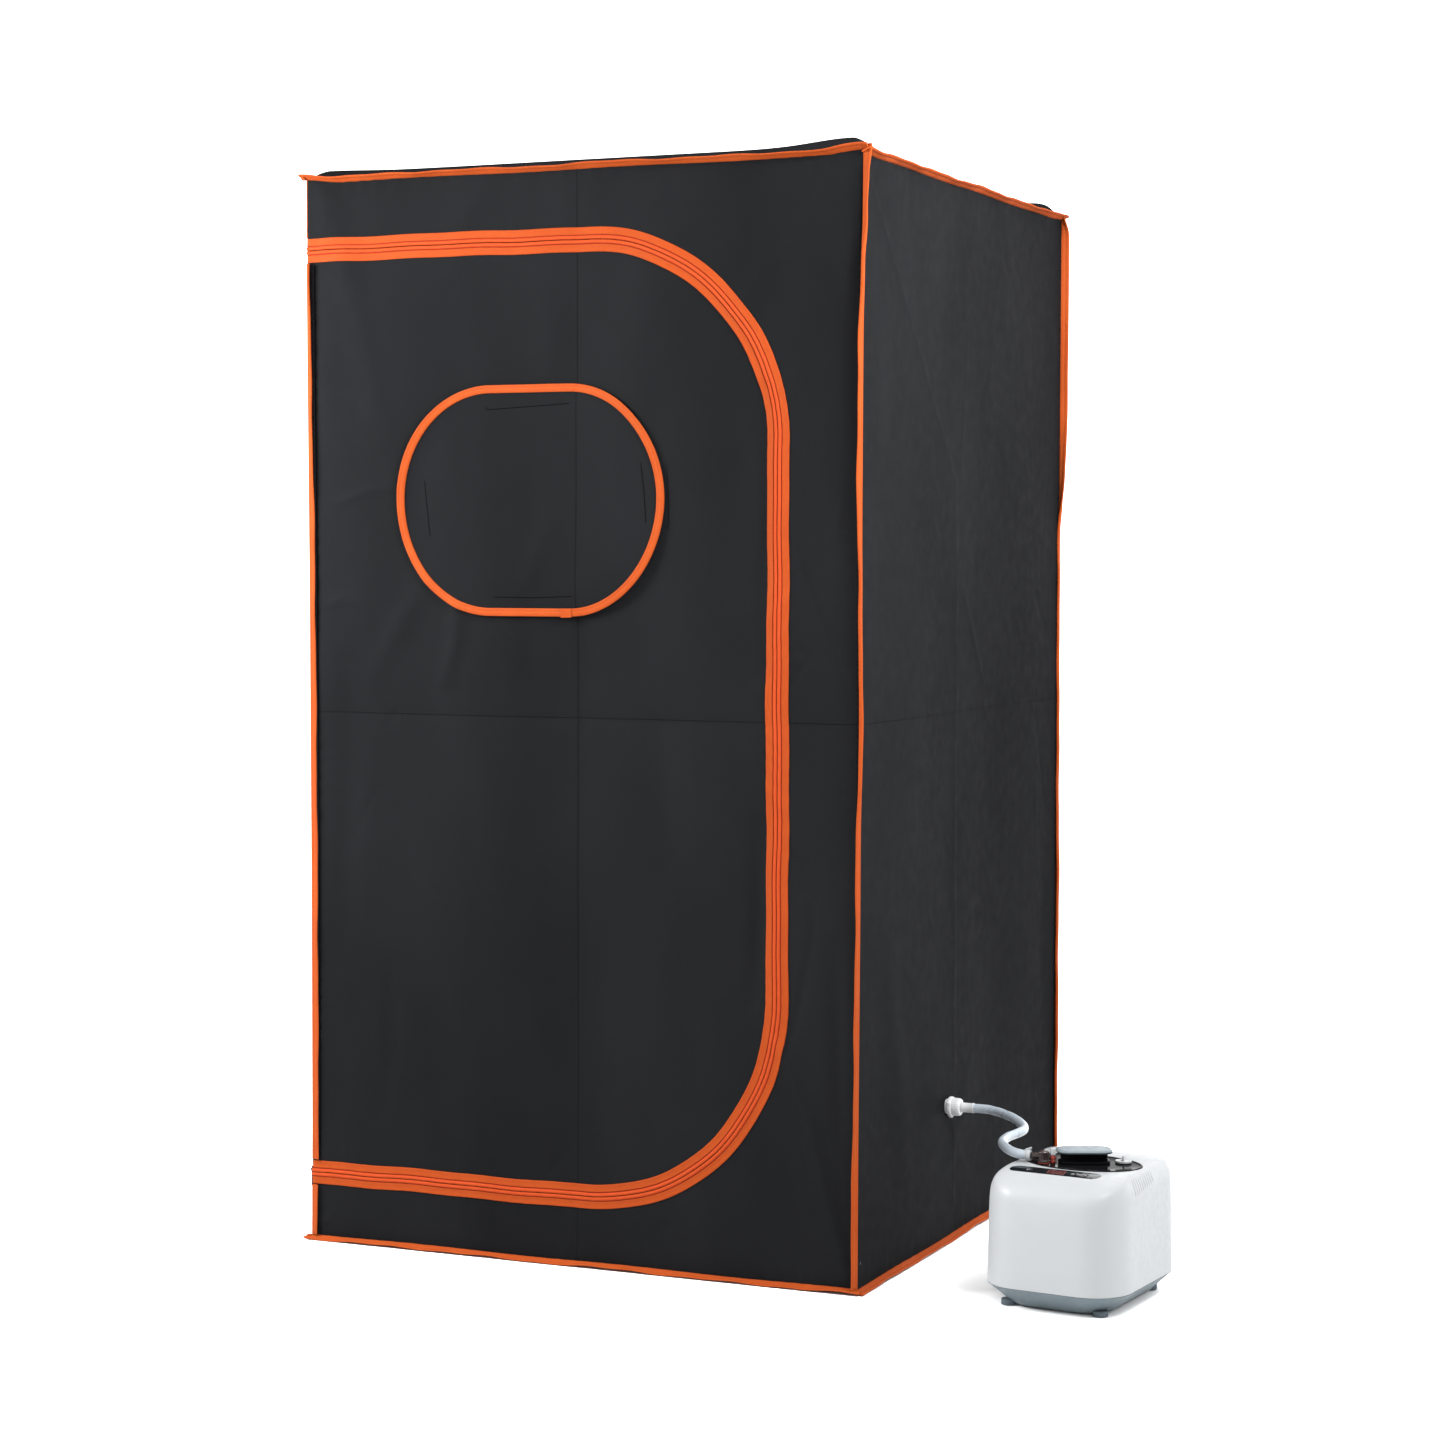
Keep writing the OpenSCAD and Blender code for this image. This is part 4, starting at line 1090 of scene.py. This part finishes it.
def stitches(name, runs, place, body):
    """Lines of thread: each run is a list of (x, z) points, and each stitch a short six-sided bar."""
    points, faces = [], []
    toward = np.array((0, 1, 0))
    for run in runs:
        run = np.array(run)
        travel = travel_along(run)
        for start in np.arange(0.5 * STITCH_PITCH, travel[-1] - STITCH_LENGTH, STITCH_PITCH):
            reach = start + np.array((0, 0.5, 1)) * STITCH_LENGTH
            spots = place(*(np.interp(reach, travel, run[:, axis]) for axis in (0, 1)))
            spots[[0, 2], 1] += 0.35 * MM
            side = np.cross(spots[2] - spots[0], toward)
            side /= np.linalg.norm(side)
            ring = [side * math.cos(a) + toward * math.sin(a) for a in np.arange(6) * math.pi / 3]
            first = len(points)
            points += [spot + THREAD_R * size * r for spot, size in zip(spots, (0.6, 1, 0.6)) for r in ring]
            faces += ring_faces(3, 6, first=first)
            faces += [tuple(range(first + 5, first - 1, -1)), tuple(range(first + 12, first + 18))]
    return link(name, new_mesh(name, points, faces), ["thread_dark"], body, slot="hook_and_loop")


def bend_over_top(piece):
    """Bakes into its mesh the placement of a piece of the flap."""
    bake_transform(piece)


def make_flap():
    inset = 3 * MM

    def depth(x, z):
        return -oval_distance(x, z, inset)

    panel = fill_outline([oval_outline(inset, 4 * MM)], depth, 5 * MM)
    flap = cloth("window_flap_cloth", panel, lambda x, z: on_flap(x, z, -0.5 * MM), FORWARD, COVER,
                 body=None, replaced=["window_flap"])
    bend_over_top(flap)


def make_flap_binding():
    outline = np.array(oval_outline(0, 4 * MM))
    profile = [(0, -1.5), (0, 0.7), (0.7, 1.25), (2.6, 1.3), (6.5, 1.05), (10.4, 1.3), (12.3, 1.25),
               (13, 0.7), (13, -1.5)]
    tangent = unit(np.roll(outline, -1, axis=0) - np.roll(outline, 1, axis=0))
    inward = np.stack([-tangent[:, 1], tangent[:, 0]], axis=1)
    rings = tape_rings(outline, inward, profile, on_flap)
    faces = ring_faces(len(rings), len(profile), looped=True)
    width = profile[-1][0]
    uvs = np.array([(u, across / width) for u in travel_along(outline) for across, _ in profile])
    mesh = new_mesh("flap_binding_tape", rings.reshape(-1, 3), faces, uvs, sharp=50)
    bend_over_top(link("flap_binding_tape", mesh, ["binding_tape"], None, ["flap_binding"]))

    tab_x, tab_z = -12 * MM, FLAP[2] - FLAP_HALF[1]
    tab = np.array([(-9, -1.8), (9, -1.2), (9, 13.4), (-9, 13.2)]) * MM + (tab_x, tab_z)
    back, front = (on_flap(tab[:, 0], tab[:, 1], lift) for lift in (0.6 * MM, 2.1 * MM))
    uvs = [(0, 0), (0.018, 0), (0.018, 0.4), (0, 0.4)] * 2
    mesh = loft("flap_tape_end", [back, front], True, uvs, sharp=30)
    link("flap_tape_end", mesh, ["binding_tape"], "window_flap")


def make_pads():
    """The hook pads sewn to the flap's back, the loop pads on the door under them, and their stitches."""
    low, high = box("flap_hook_pads")
    long, short, width = 75 * MM, 45 * MM, 9 * MM
    spots = [(FLAP[0], high[2] - width, long, width), (FLAP[0], low[2] + width, long, width),
             (low[0] + width, FLAP[2], width, short), (high[0] - width, FLAP[2], width, short)]
    for name, node, body, place in (
            ("door_loop_pad", "door_loop_pads", "door", lambda x, z: on_front(x, z, 1.3 * MM)),
            ("flap_hook_pad", "flap_hook_pads", "window_flap", lambda x, z: on_flap(x, z, -2.3 * MM))):
        pads = []
        for x, z, half_x, half_z in spots:
            corners = (x - half_x, z - half_z), (x + half_x, z + half_z)

            def depth(u, v):
                return rectangle_depth(u, v, *corners)

            panel = fill_outline([rectangle(*corners, STEP)], depth, STEP)
            pads.append(cloth(name, panel, place, FORWARD, ["hook_and_loop"], 0.8 * MM, None))
        merge(pads, node + "_cloth", body, [node])

    runs = [[(-0.160, 1.406), (-0.158, 1.4125)],
            [(-0.160, 1.406), (-0.09, 1.4095), (-0.006, 1.414)],
            [(-0.146, 1.099), (-0.07, 1.0985), (-0.002, 1.101)],
            [(-0.2725, 1.292), (-0.268, 1.25), (-0.262, 1.197)],
            [(0.121, 1.318), (0.127, 1.27), (0.131, 1.218)]]
    stitches("flap_pad_stitches", runs, lambda x, z: on_flap(x, z, 0.1 * MM), "window_flap")
    runs = [[(0.161, 1.309), (0.165, 1.308), (0.167, 1.26), (0.168, 1.213), (0.161, 1.2125)]]
    stitches("door_pad_stitches", runs, lambda x, z: on_front(x, z, 0.25 * MM), "door")


# ---- turned and moulded pieces ----

SHARP = 35  # degrees that an edge turns by before it looks sharp


def turned(profile, count=64):
    """Rings of a turned piece, from (radius, height) pairs in mm."""
    angle = np.arange(count) * 2 * math.pi / count
    return [np.column_stack([r * np.cos(angle), r * np.sin(angle), np.full(count, h)]) for r, h in profile]


def block_ring(z, half, front, back, radius, inset=0.0):
    """Points in mm round a rectangle with rounded corners, starting from its right side."""
    half, front, back, radius = half - inset, front + inset, back - inset, radius - inset
    quarters = []
    for x, y, start in ((half - radius, back - radius, 0), (radius - half, back - radius, 90),
                        (radius - half, front + radius, 180), (half - radius, front + radius, 270)):
        angle = np.radians(start + np.linspace(0, 90, 14))
        quarters.append(np.stack([x + radius * np.cos(angle), y + radius * np.sin(angle)], axis=1))
    ring = []
    for a, b in zip(quarters, quarters[1:] + quarters[:1]):
        share = np.linspace(0, 1, 12)[1:-1, None]
        ring += [a, a[-1] + share * (b[0] - a[-1])]
    ring = np.concatenate(ring)
    return np.column_stack([ring, np.full(len(ring), z)])


def slab(half_x, half_y, radius, edge):
    """Rings of a slab about the origin; edge gives (inset, height) pairs from its bottom to its top."""
    return [block_ring(z, half_x, -half_y, half_y, radius, inset) for inset, z in edge]


def oval_ring(z, a, b, around, centre=(0, 0)):
    """An oval with one point for each point of the ring around it."""
    angle = np.arctan2(around[:, 1] - centre[1], around[:, 0] - centre[0])
    turn = np.arctan2(np.sin(angle) / b, np.cos(angle) / a)
    x, y = centre[0] + a * np.cos(turn), centre[1] + b * np.sin(turn)
    return np.column_stack([x, y, np.full(len(turn), z)])


def stroke(points, width, low, high):
    """Rings of a raised line along points in mm."""
    points = np.array(points, dtype=float)
    tangent = np.gradient(points, axis=0)
    side = np.stack([-tangent[:, 1], tangent[:, 0]], axis=1)
    side *= width / 2 / np.linalg.norm(side, axis=1)[:, None]
    corners = [(side, low), (side * 0.7, high), (-side * 0.7, high), (-side, low)]
    edges = [np.column_stack([points + shift, np.full(len(points), z)]) for shift, z in corners]
    return list(np.stack(edges, axis=1))


def shape(rings, place, material, body=ROOT, replaced=(), slot=None, closed=True, name=None):
    """A piece through rings in mm, put in place by a matrix; not closed means that it is a tube."""
    turn = np.array(place)
    rings = [np.asarray(ring) * MM @ turn[:3, :3].T + turn[:3, 3] for ring in rings]
    name = name or replaced[0] + "_visual"
    return link(name, loft(name, rings, closed, sharp=SHARP), [material], body, replaced, slot)


def part(rings, place, material, closed=True):
    """A shape that is merged into a piece, or cut out of one."""
    return shape(rings, place, material, None, closed=closed, name="part")


def moved(x=0.0, y=0.0, z=0.0):
    """A shift in mm."""
    return Matrix.Translation((x * MM, y * MM, z * MM))


def spun(angle, axis):
    return Matrix.Rotation(angle, 4, axis)


def combine(piece, other, operation="DIFFERENCE"):
    """Cuts the other solid out of a piece, or fuses the two."""
    modifier = piece.modifiers.new("combine", "BOOLEAN")
    modifier.operation = operation
    modifier.solver = "EXACT"
    modifier.object = other
    settle_modifiers(piece, SHARP)
    bpy.data.objects.remove(other)


def cut(piece, rings, place):
    combine(piece, part(rings, place, "black_plastic"))


GENERATOR = Matrix.Translation(GEN) @ spun(GEN_TURN, "Z")


def on_lid(x, turn=0.0):
    """A place x mm along the line that the lid's pieces stand on, at floor level."""
    return Matrix.Translation(LID) @ spun(GEN_TURN + LID_TURN, "Z") @ moved(x) @ spun(turn, "Z")


def on_strip(x):
    """A place on the face of the control strip."""
    return Matrix.Translation(STRIP) @ spun(GEN_TURN, "Z") @ spun(math.radians(9), "X") @ moved(x, 0, 1.25)


# ---- steam generator: housing ----

# height, half width, front, back and corner radius
SHELL_LEVELS = [(35, 118.5, -144, 146, 66), (150, 116.5, -142, 144, 65), (172, 116, -140, 143, 64),
                (186, 115, -134, 141, 60), (197, 111, -122, 137, 48), (205, 106, -104, 131, 38),
                (210, 101, -76, 126, 30), (212, 97, -58, 120, 28)]
SHELL_FOOT, SHELL_TOP, WALL = 35.7, 211, 3
LID_MIDDLE = (2, 8)


def soften(levels):
    """The same run of levels with its corners rounded off."""
    levels = np.array(levels, dtype=float)
    for _ in range(2):
        a, b = levels[:-1], levels[1:]
        between = np.stack([0.75 * a + 0.25 * b, 0.25 * a + 0.75 * b], axis=1).reshape(-1, levels.shape[1])
        levels = np.concatenate([levels[:1], between, levels[-1:]])
    return levels


def shell_side(levels, y, z):
    """Distance of the housing's right side from its middle."""
    half, front, radius = (np.interp(z, levels[:, 0], levels[:, i]) for i in (1, 2, 4))
    into_corner = np.maximum(front + radius - y, 0)
    return half - radius + np.sqrt(np.maximum(radius ** 2 - into_corner ** 2, 0))


def vent_ribs(levels):
    """Fine ribs that run up the housing's right side and over its shoulder."""
    ribs = []
    for i in range(10):
        z = np.linspace(178 + 1.2 * i, 208.5, 22)
        lean_back = np.interp(z, [178, 198, 209], [0, 1, 7])
        y = -56 + 8.5 * i + lean_back
        x = shell_side(levels, y, z)
        path = np.column_stack([x, y, z]) * MM
        run = np.gradient(path, axis=0)
        normal = unit(np.cross((0, 1, 0), run))
        swell = smooth_step(np.minimum(np.arange(22), 21 - np.arange(22)) / 4) * 0.75
        profile = np.array([(-0.6, -1.0), (0.1, -0.9), (1.0, 0.0), (0.1, 0.9), (-0.6, 1.0)]) * MM
        profile = np.stack([profile * (max(s, 0.05), 1) for s in swell])
        turn, shift = np.array(GENERATOR)[:3, :3], np.array(GENERATOR)[:3, 3]
        ribs.append(sweep(path @ turn.T + shift, normal @ turn.T, profile, "housing_white"))
    return ribs


def make_housing():
    levels = soften(SHELL_LEVELS)
    levels = levels[levels[:, 0] < SHELL_TOP]
    outer = [block_ring(*levels[0], inset=0.9), block_ring(SHELL_FOOT, *levels[0][1:], inset=0.1)]
    outer += [block_ring(*level) for level in levels[1:]]
    inner = [block_ring(max(SHELL_FOOT, z - WALL), *plan, inset=WALL) for z, *plan in levels[::-1]]
    hole = ((212.0, 96.6), (211.7, 95.8), (209.4, 95.5))
    edge = [oval_ring(z, half, half - 30, outer[-1], LID_MIDDLE) for z, half in hole]
    shell = part(outer + edge + inner, GENERATOR, "housing_white", closed=False)
    cut(shell, slab(76.5, 13.5, 13.5, [(0, -9), (0, 6)]), on_strip(0))
    mains_inlet = GENERATOR @ moved(0, 150, 66) @ spun(math.pi / 2, "X")
    cut(shell, slab(14.5, 10.5, 1, [(0, -10), (0, 10)]), mains_inlet)
    merge([shell] + vent_ribs(levels), "steamer_shell_visual", ROOT, ["steamer_shell"])


def make_base():
    # half width, front, back and corner radius at its foot and at its rim
    low, high = (86, -112, 116, 50), SHELL_LEVELS[0][1:]
    rim = ((34.6, 3), (34.9, 2.2), (34.9, 1.2), (34.2, 0.5))
    rings = [block_ring(6, *low, inset=3)] + [block_ring(z, *high, inset=inset) for z, inset in rim]
    for share in (0.93, 0.6, 0.25, 0.08):
        size = np.array(low) + share * (np.array(high) - low)
        rings.append(block_ring(3 + 32 * share, *size))
    rings += [block_ring(3.4, *low, inset=0.6), block_ring(3, *low, inset=2)]
    shape(rings, GENERATOR, "base_grey", replaced=["steamer_base"])
    foot = turned([(11.2, 0), (12, 0.8), (12, 8.2), (11.4, 9)])
    feet = [part(foot, GENERATOR @ moved(x, y), "foot_rubber") for x in (-77, 77) for y in (-101, 101)]
    merge(feet, "steamer_feet_visual", ROOT, ["steamer_feet"])


# ---- steam generator: lid ----

ELBOW_AT, VALVE_AT, CAP_AT = -64, -49.3, 62  # mm along the lid's line from the handle


def make_lid():
    outline = turned([(95, 0)], 120)[0]
    edge = [(1.2, 206), (0.2, 206.8), (0, 207.5), (0, 212.3), (0.5, 212.9), (1.6, 213.2), (2.7, 212.9),
            (3.5, 212.2), (4.6, 211.9), (30, 211.9)]
    rings = [oval_ring(z, 95 - inset, 65 - inset, outline) for inset, z in edge]
    lid = shape(rings, GENERATOR @ moved(*LID_MIDDLE), "smoked_gloss", replaced=["lid_plate"])
    for x, radius in ((ELBOW_AT, 7), (VALVE_AT, 2.5), (0, 4.1), (CAP_AT, 9)):
        cut(lid, turned([(radius, 200), (radius, 216)]), on_lid(x))
    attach(lid, ROOT)


def make_elbow():
    """The smoked elbow with its seal, and the spring clip on its nipple."""
    post = [(4, 226.5), (4, 206.4), (5.4, 206.4), (5.4, 213.1), (9.1, 213.1), (9.5, 213.5), (9.5, 215.6),
            (9.0, 216.2), (8.5, 216.8), (8.5, 226.6), (9.1, 227.5), (9.3, 228.6), (8.8, 229.6), (6.4, 231.9),
            (5.3, 232.4)]
    nipple = [(3.3, 5), (5.3, 5), (5.4, 19.2), (4.9, 20), (3.3, 20)]
    outlet = on_lid(ELBOW_AT, OUTLET_TURN - LID_TURN) @ moved(0, 0, 223) @ spun(-math.pi / 2, "Y")
    elbow = shape(turned(post), on_lid(ELBOW_AT), "smoked_clear", replaced=["steam_elbow"])
    combine(elbow, part(turned(nipple), outlet, "smoked_clear", closed=False), "UNION")
    seal = [(5.6, 206.1), (6.9, 206.1), (6.9, 212), (9.3, 212.02), (9.5, 212.3), (9.4, 212.9), (5.6, 213)]
    shape(turned(seal), on_lid(ELBOW_AT), "red_silicone", replaced=["elbow_seal"], closed=False)

    clip = outlet @ moved(0, 0, 21)
    band = [(8.15, 0.3), (8.4, 0), (9.1, 0), (9.3, 0.4), (9.3, 6.6), (9.1, 7), (8.4, 7), (8.15, 6.7)]
    parts = [part(turned(band), clip, "white_plastic", closed=False)]
    ear = slab(1.3, 0.8, 0.6, [(0.3, -5), (0, -4.6), (0, 5.6), (0.3, 6)])
    for side in (-3, 3):
        parts.append(part(ear, clip @ moved(9.8, side, 3) @ spun(math.radians(-20), "Y"), "white_plastic"))
    merge(parts, "outlet_clip_visual", ROOT, ["outlet_clip"])


def make_valve():
    seat = [(1.65, 206.2), (2.4, 206.2), (2.4, 212.05), (4.0, 212.05), (4.2, 212.5), (4.2, 215.0),
            (3.4, 215.9), (3.4, 217.0), (4.2, 217.9), (4.2, 222.4), (3.7, 223.9), (1.65, 224)]
    shape(turned(seat, 40), on_lid(VALVE_AT), "red_silicone", replaced=["valve_seat"], closed=False)
    weight = slab(4.0, 4.0, 1.2, [(0.7, 224.1), (0, 224.8), (0, 233.9), (0.5, 234.8), (1.0, 235)])
    stem = turned([(1.2, 209), (1.5, 209.5), (1.5, 224.3)], 24)
    parts = [part(rings, on_lid(VALVE_AT), "white_plastic") for rings in (weight, stem)]
    merge(parts, "valve_cap_visual", "valve_cap", ["valve_cap"])


def make_fill_cap():
    cap = [(8, 206.4), (8.8, 207), (8.8, 212.35), (12.5, 212.35), (13, 212.9), (13, 215.1), (12.4, 215.8),
           (11.4, 216), (10.2, 215.5), (4.6, 215.3), (3.4, 215.8), (2.1, 216.6), (1.8, 218.4), (1.8, 221.6),
           (1.2, 222.2)]
    tab = slab(6, 1.2, 1.1, [(0.5, 215.6), (0, 216.2), (0, 223.4), (0.8, 224)])
    parts = [part(turned(cap), on_lid(CAP_AT), "white_plastic"),
             part(tab, on_lid(CAP_AT, math.radians(76)), "white_plastic")]
    merge(parts, "fill_cap_visual", "fill_cap", ["fill_cap"])


def make_handle():
    foot = slab(41, 20, 18, [(0.6, 212.5), (0, 213.1), (0, 215.6), (0.4, 216.2), (1.4, 216.5)])
    neck = slab(37, 12, 8, [(0, 216.6), (0, 219.6), (0.9, 220.1), (0.9, 220.9), (0, 221.4), (0, 224.4),
                            (0.9, 224.9), (0.9, 225.7), (0, 226.2), (0, 228.9)])
    bore = [oval_ring(z, 4.05, 4.05, foot[0]) for z in (228.9, 212.5)]
    shape(foot + neck + bore, on_lid(0), "smoked_gloss", "lid_handle", ["lid_handle"], closed=False)
    edge = [(2.4, 229.05), (0.5, 229.2), (0, 229.8), (0, 231.2), (0.25, 231.6), (0.1, 232.0), (0.5, 233.4),
            (1.7, 234.5), (4, 234.95), (9, 235)]
    grip = shape(slab(44, 25, 20, edge), on_lid(0), "grip_grey", "lid_handle", ["handle_grip"])
    # painted shade and reflection: the grip's lower edge, which faces down over the dark tray, gets a darker
    # material
    grip.data.materials.append(MATERIALS["grip_rim_painted_shade"])
    for face in grip.data.polygons:
        face.material_index = int(face.center.z < 231.5 * MM)


# ---- steam generator: controls ----

# mm along the strip from its middle
KEYS_AT = {"power_button": -45, "timer_button": 30, "heat_button": 51}
DISPLAY_AT = 2


def circle_points(radius, start, end):
    """Points in mm on an arc between two angles in degrees."""
    angle = np.radians(np.linspace(start, end, 24))
    return np.stack([radius * np.cos(angle), radius * np.sin(angle)], axis=1)


def make_controls():
    panel = shape(slab(76, 13, 13, [(0.6, -2.5), (0, -2), (0, -0.4), (0.15, -0.12), (0.6, 0)]), on_strip(0),
                  "strip_gloss", replaced=["control_panel"], slot="smoked_gloss")
    for x in KEYS_AT.values():
        cut(panel, turned([(5.1, -9), (5.1, 9)]), on_strip(x))
    cut(panel, slab(13, 6, 0.5, [(0, -9), (0, 9)]), on_strip(DISPLAY_AT))
    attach(panel, ROOT)
    heights = np.linspace(-2, 2, 12)
    icons = {
        "power_button": [circle_points(2.2, 130, 410), [(0, 0.8), (0, 1.8), (0, 3.0)]],
        "timer_button": [circle_points(2.3, 0, 360), [(0, 1.5), (0, 0), (1.2, -0.6)]],
        "heat_button": [[(x + 0.5 * math.sin(y * 1.9), y) for y in heights] for x in (-1.9, 0, 1.9)],
    }
    for node, x in KEYS_AT.items():
        key = turned([(1.2, -5), (1.5, -4.6), (1.5, -2.5), (4.7, -2.5), (4.95, -2.1), (4.95, -0.1),
                      (4.7, 0.25), (4.1, 0.4), (3.6, 0.25), (0.6, 0.2)])
        shape(key, on_strip(x), "key_plastic", node, [node])
        marks = [part(stroke(points, 0.75, 0.1, 0.42), on_strip(x), "icon_white") for points in icons[node]]
        merge(marks, node + "_mark", node)


# Start and end of each segment of a seven-segment figure, in quarters of its height from its middle.
SEGMENTS = {"a": ((-1, 2), (1, 2)), "b": ((1, 2), (1, 0)), "c": ((1, 0), (1, -2)), "d": ((-1, -2), (1, -2)),
            "e": ((-1, 0), (-1, -2)), "f": ((-1, 2), (-1, 0)), "g": ((-1, 0), (1, 0))}


def make_display():
    """A glowing line round the display and four plain figures in it."""
    outline = slab(14.2, 7.2, 1.4, [(0, 0.02), (0, 0.3)])
    inside = slab(13.2, 6.2, 0.6, [(0, 0.3), (0, 0.02)])
    shape(outline + inside, on_strip(DISPLAY_AT), "display_glow", name="display_frame", slot="display_red",
          closed=False)
    figures = []
    for x, lit in ((-7.5, "abcdef"), (-2.4, "abged"), (4.0, "abcdefg"), (9.0, "acdfg")):
        for segment in lit:
            start, end = 1.5 * np.array(SEGMENTS[segment], dtype=float) + (x, 0)
            gap = 0.35 * np.sign(end - start)
            line_of_three = [start + gap, (start + end) / 2, end - gap]
            figures.append(part(stroke(line_of_three, 0.6, -0.3, 0.12), on_strip(DISPLAY_AT), "display_glow"))
    merge(figures, "display_figures", ROOT)


# ---- steam port ----

# distance from the cabin's middle, radius, and height of the three lobes and of the fine ribs, in mm
NUT_LEVELS = [(500.7, 13.0, 0, 0), (504.4, 13.1, 0, 0), (504.8, 16.6, 1.8, 0), (505.6, 17.0, 2.2, 0),
              (509.6, 17.0, 2.2, 0), (510.6, 16.6, 1.8, 0), (511.2, 15.0, 0.3, 0.3), (519, 14.7, 0, 0.5),
              (523.2, 14.4, 0, 0.4), (525.2, 13.4, 0, 0), (526, 11.6, 0, 0)]


def make_port():
    along = Matrix.Translation((0, PORT[1], PORT[2])) @ spun(math.pi / 2, "Y")
    angle = np.arange(128) * 2 * math.pi / 128
    lobe = np.maximum(0, np.cos(3 * angle)) ** 6
    rib = np.maximum(0, np.cos(24 * angle))
    rings = []
    for x, radius, lobes, ribs in NUT_LEVELS:
        r = radius + lobes * lobe + ribs * rib
        rings.append(np.column_stack([r * np.cos(angle), r * np.sin(angle), np.full(128, x)]))
    bore = turned([(7.6, 526), (7.6, 519.4), (12.6, 519.4), (12.6, 500.7)], 128)
    # the nut and the barb take the lighter, painted-light copy of the white plastic
    shape(rings + bore, along, "port_white_painted_light", "port_nut", ["port_nut"], "white_plastic", closed=False)
    barb = [(4.5, 515.4), (11.4, 515.4), (11.4, 518.8), (7.4, 518.8), (7.4, 526.7), (7.9, 527), (8.5, 527.8),
            (8.5, 530.5), (8.2, 531.3), (8.2, 545.4), (8.5, 546.2), (8.5, 548.4), (8.0, 549), (4.5, 549)]
    shape(turned(barb), along, "port_white_painted_light", ROOT, ["hose_barb"], "white_plastic", closed=False)


# ---- the frame and the pieces inside: CAD nodes that keep their shape ----

KEPT = {
    "zip_metal": ["zip_slider", "zip_pull"],
    "clear_film": ["window_pane"],
    "frame_tube": ["lower_uprights", "upper_uprights", "roof_rods", "floor_rods"],
    "frame_plastic": ["upright_couplers", "roof_connectors", "floor_connectors"],
    "white_plastic": ["port_bushing"],
    "black_rubber": ["port_washer", "tank_seal"],
    "steel": ["base_screws", "water_tank", "heater_coil", "handle_spindle", "latch_bar"],
    "heater_aluminium": ["heater_plate"],
    "black_plastic": ["thermal_cutout", "mains_inlet"],
    "display_red": ["display_module"],
    "circuit_board": ["control_board"],
}


def dress_kept_nodes():
    for key, nodes in KEPT.items():
        for node in nodes:
            dress(node, key)


# ---- hose ----

HOSE_D = 15 * MM
HOSE_ROUTE = [
    (549, -101, 232), (562, -101, 232), (575, -103, 232), (588, -108, 231), (601, -117, 231),
    (614, -128, 230), (627, -141, 230), (640, -156, 229), (652, -172, 228), (663, -189, 227),
    (671, -206, 226), (675, -223, 225), (675, -240, 225), (672, -257, 224), (669, -275, 224),
    (668, -294, 223), (670, -314, 223), (676, -335, 223), (686, -356, 223), (698, -376, 223),
    (710, -392, 223), (722, -403, 223), (734, -409, 223), (747, -409, 223),
]


def make_hose():
    route = [Vector(p) * MM for p in HOSE_ROUTE]
    curve = bpy.data.curves.new("hose", "CURVE")
    curve.dimensions = "3D"
    curve.bevel_depth = HOSE_D / 2
    curve.bevel_resolution = 8
    curve.resolution_u = 8
    curve.use_fill_caps = True
    spline = curve.splines.new("BEZIER")
    spline.bezier_points.add(len(route) - 1)
    for point, place in zip(spline.bezier_points, route):
        point.co = place
        point.handle_left_type = point.handle_right_type = "AUTO"
    hose = link("hose", curve, ["silicone_hose"], ROOT, ["steam_hose"])
    length = sum((b - a).length for a, b in zip(route, route[1:]))
    tuple(route[0])


# ---- floor ----

def make_studio_floor():
    half, height = 30, -0.5 * MM
    corners = [(-half, -half, height), (half, -half, height), (half, half, height), (-half, half, height)]
    mesh = bpy.data.meshes.new("studio_floor")
    mesh.from_pydata(corners, [], [(0, 1, 2, 3)])
    finish = Finish("studio_floor", (0.97, 0.97, 0.97), 0.7)
    finish.tint(finish.noise(0.5), 0.99, 1.0)
    mesh.materials.append(finish.material)
    studio_floor = bpy.data.objects.new("studio_floor", mesh)
    bpy.context.collection.objects.link(studio_floor)


# ---- everything in its place ----

make_materials()
make_front()
make_door()
make_walls()
make_roof_and_floor()
make_corner_bindings()
make_edge_bindings("roof_binding_tape", "roof_bindings", TOP - 8.5 * MM, 28,
                   [(6, 6), (2.5, 3), (5, 5), (5, 6)])
make_edge_bindings("floor_binding_tape", "floor_bindings", 7 * MM, -14, [(0, 0)] * 4)
make_zip()
make_flap()
make_flap_binding()
make_pads()
make_housing()
make_base()
make_lid()
make_elbow()
make_valve()
make_fill_cap()
make_handle()
make_controls()
make_display()
make_port()
dress_kept_nodes()
make_hose()
make_studio_floor()

bpy.context.view_layer.update()
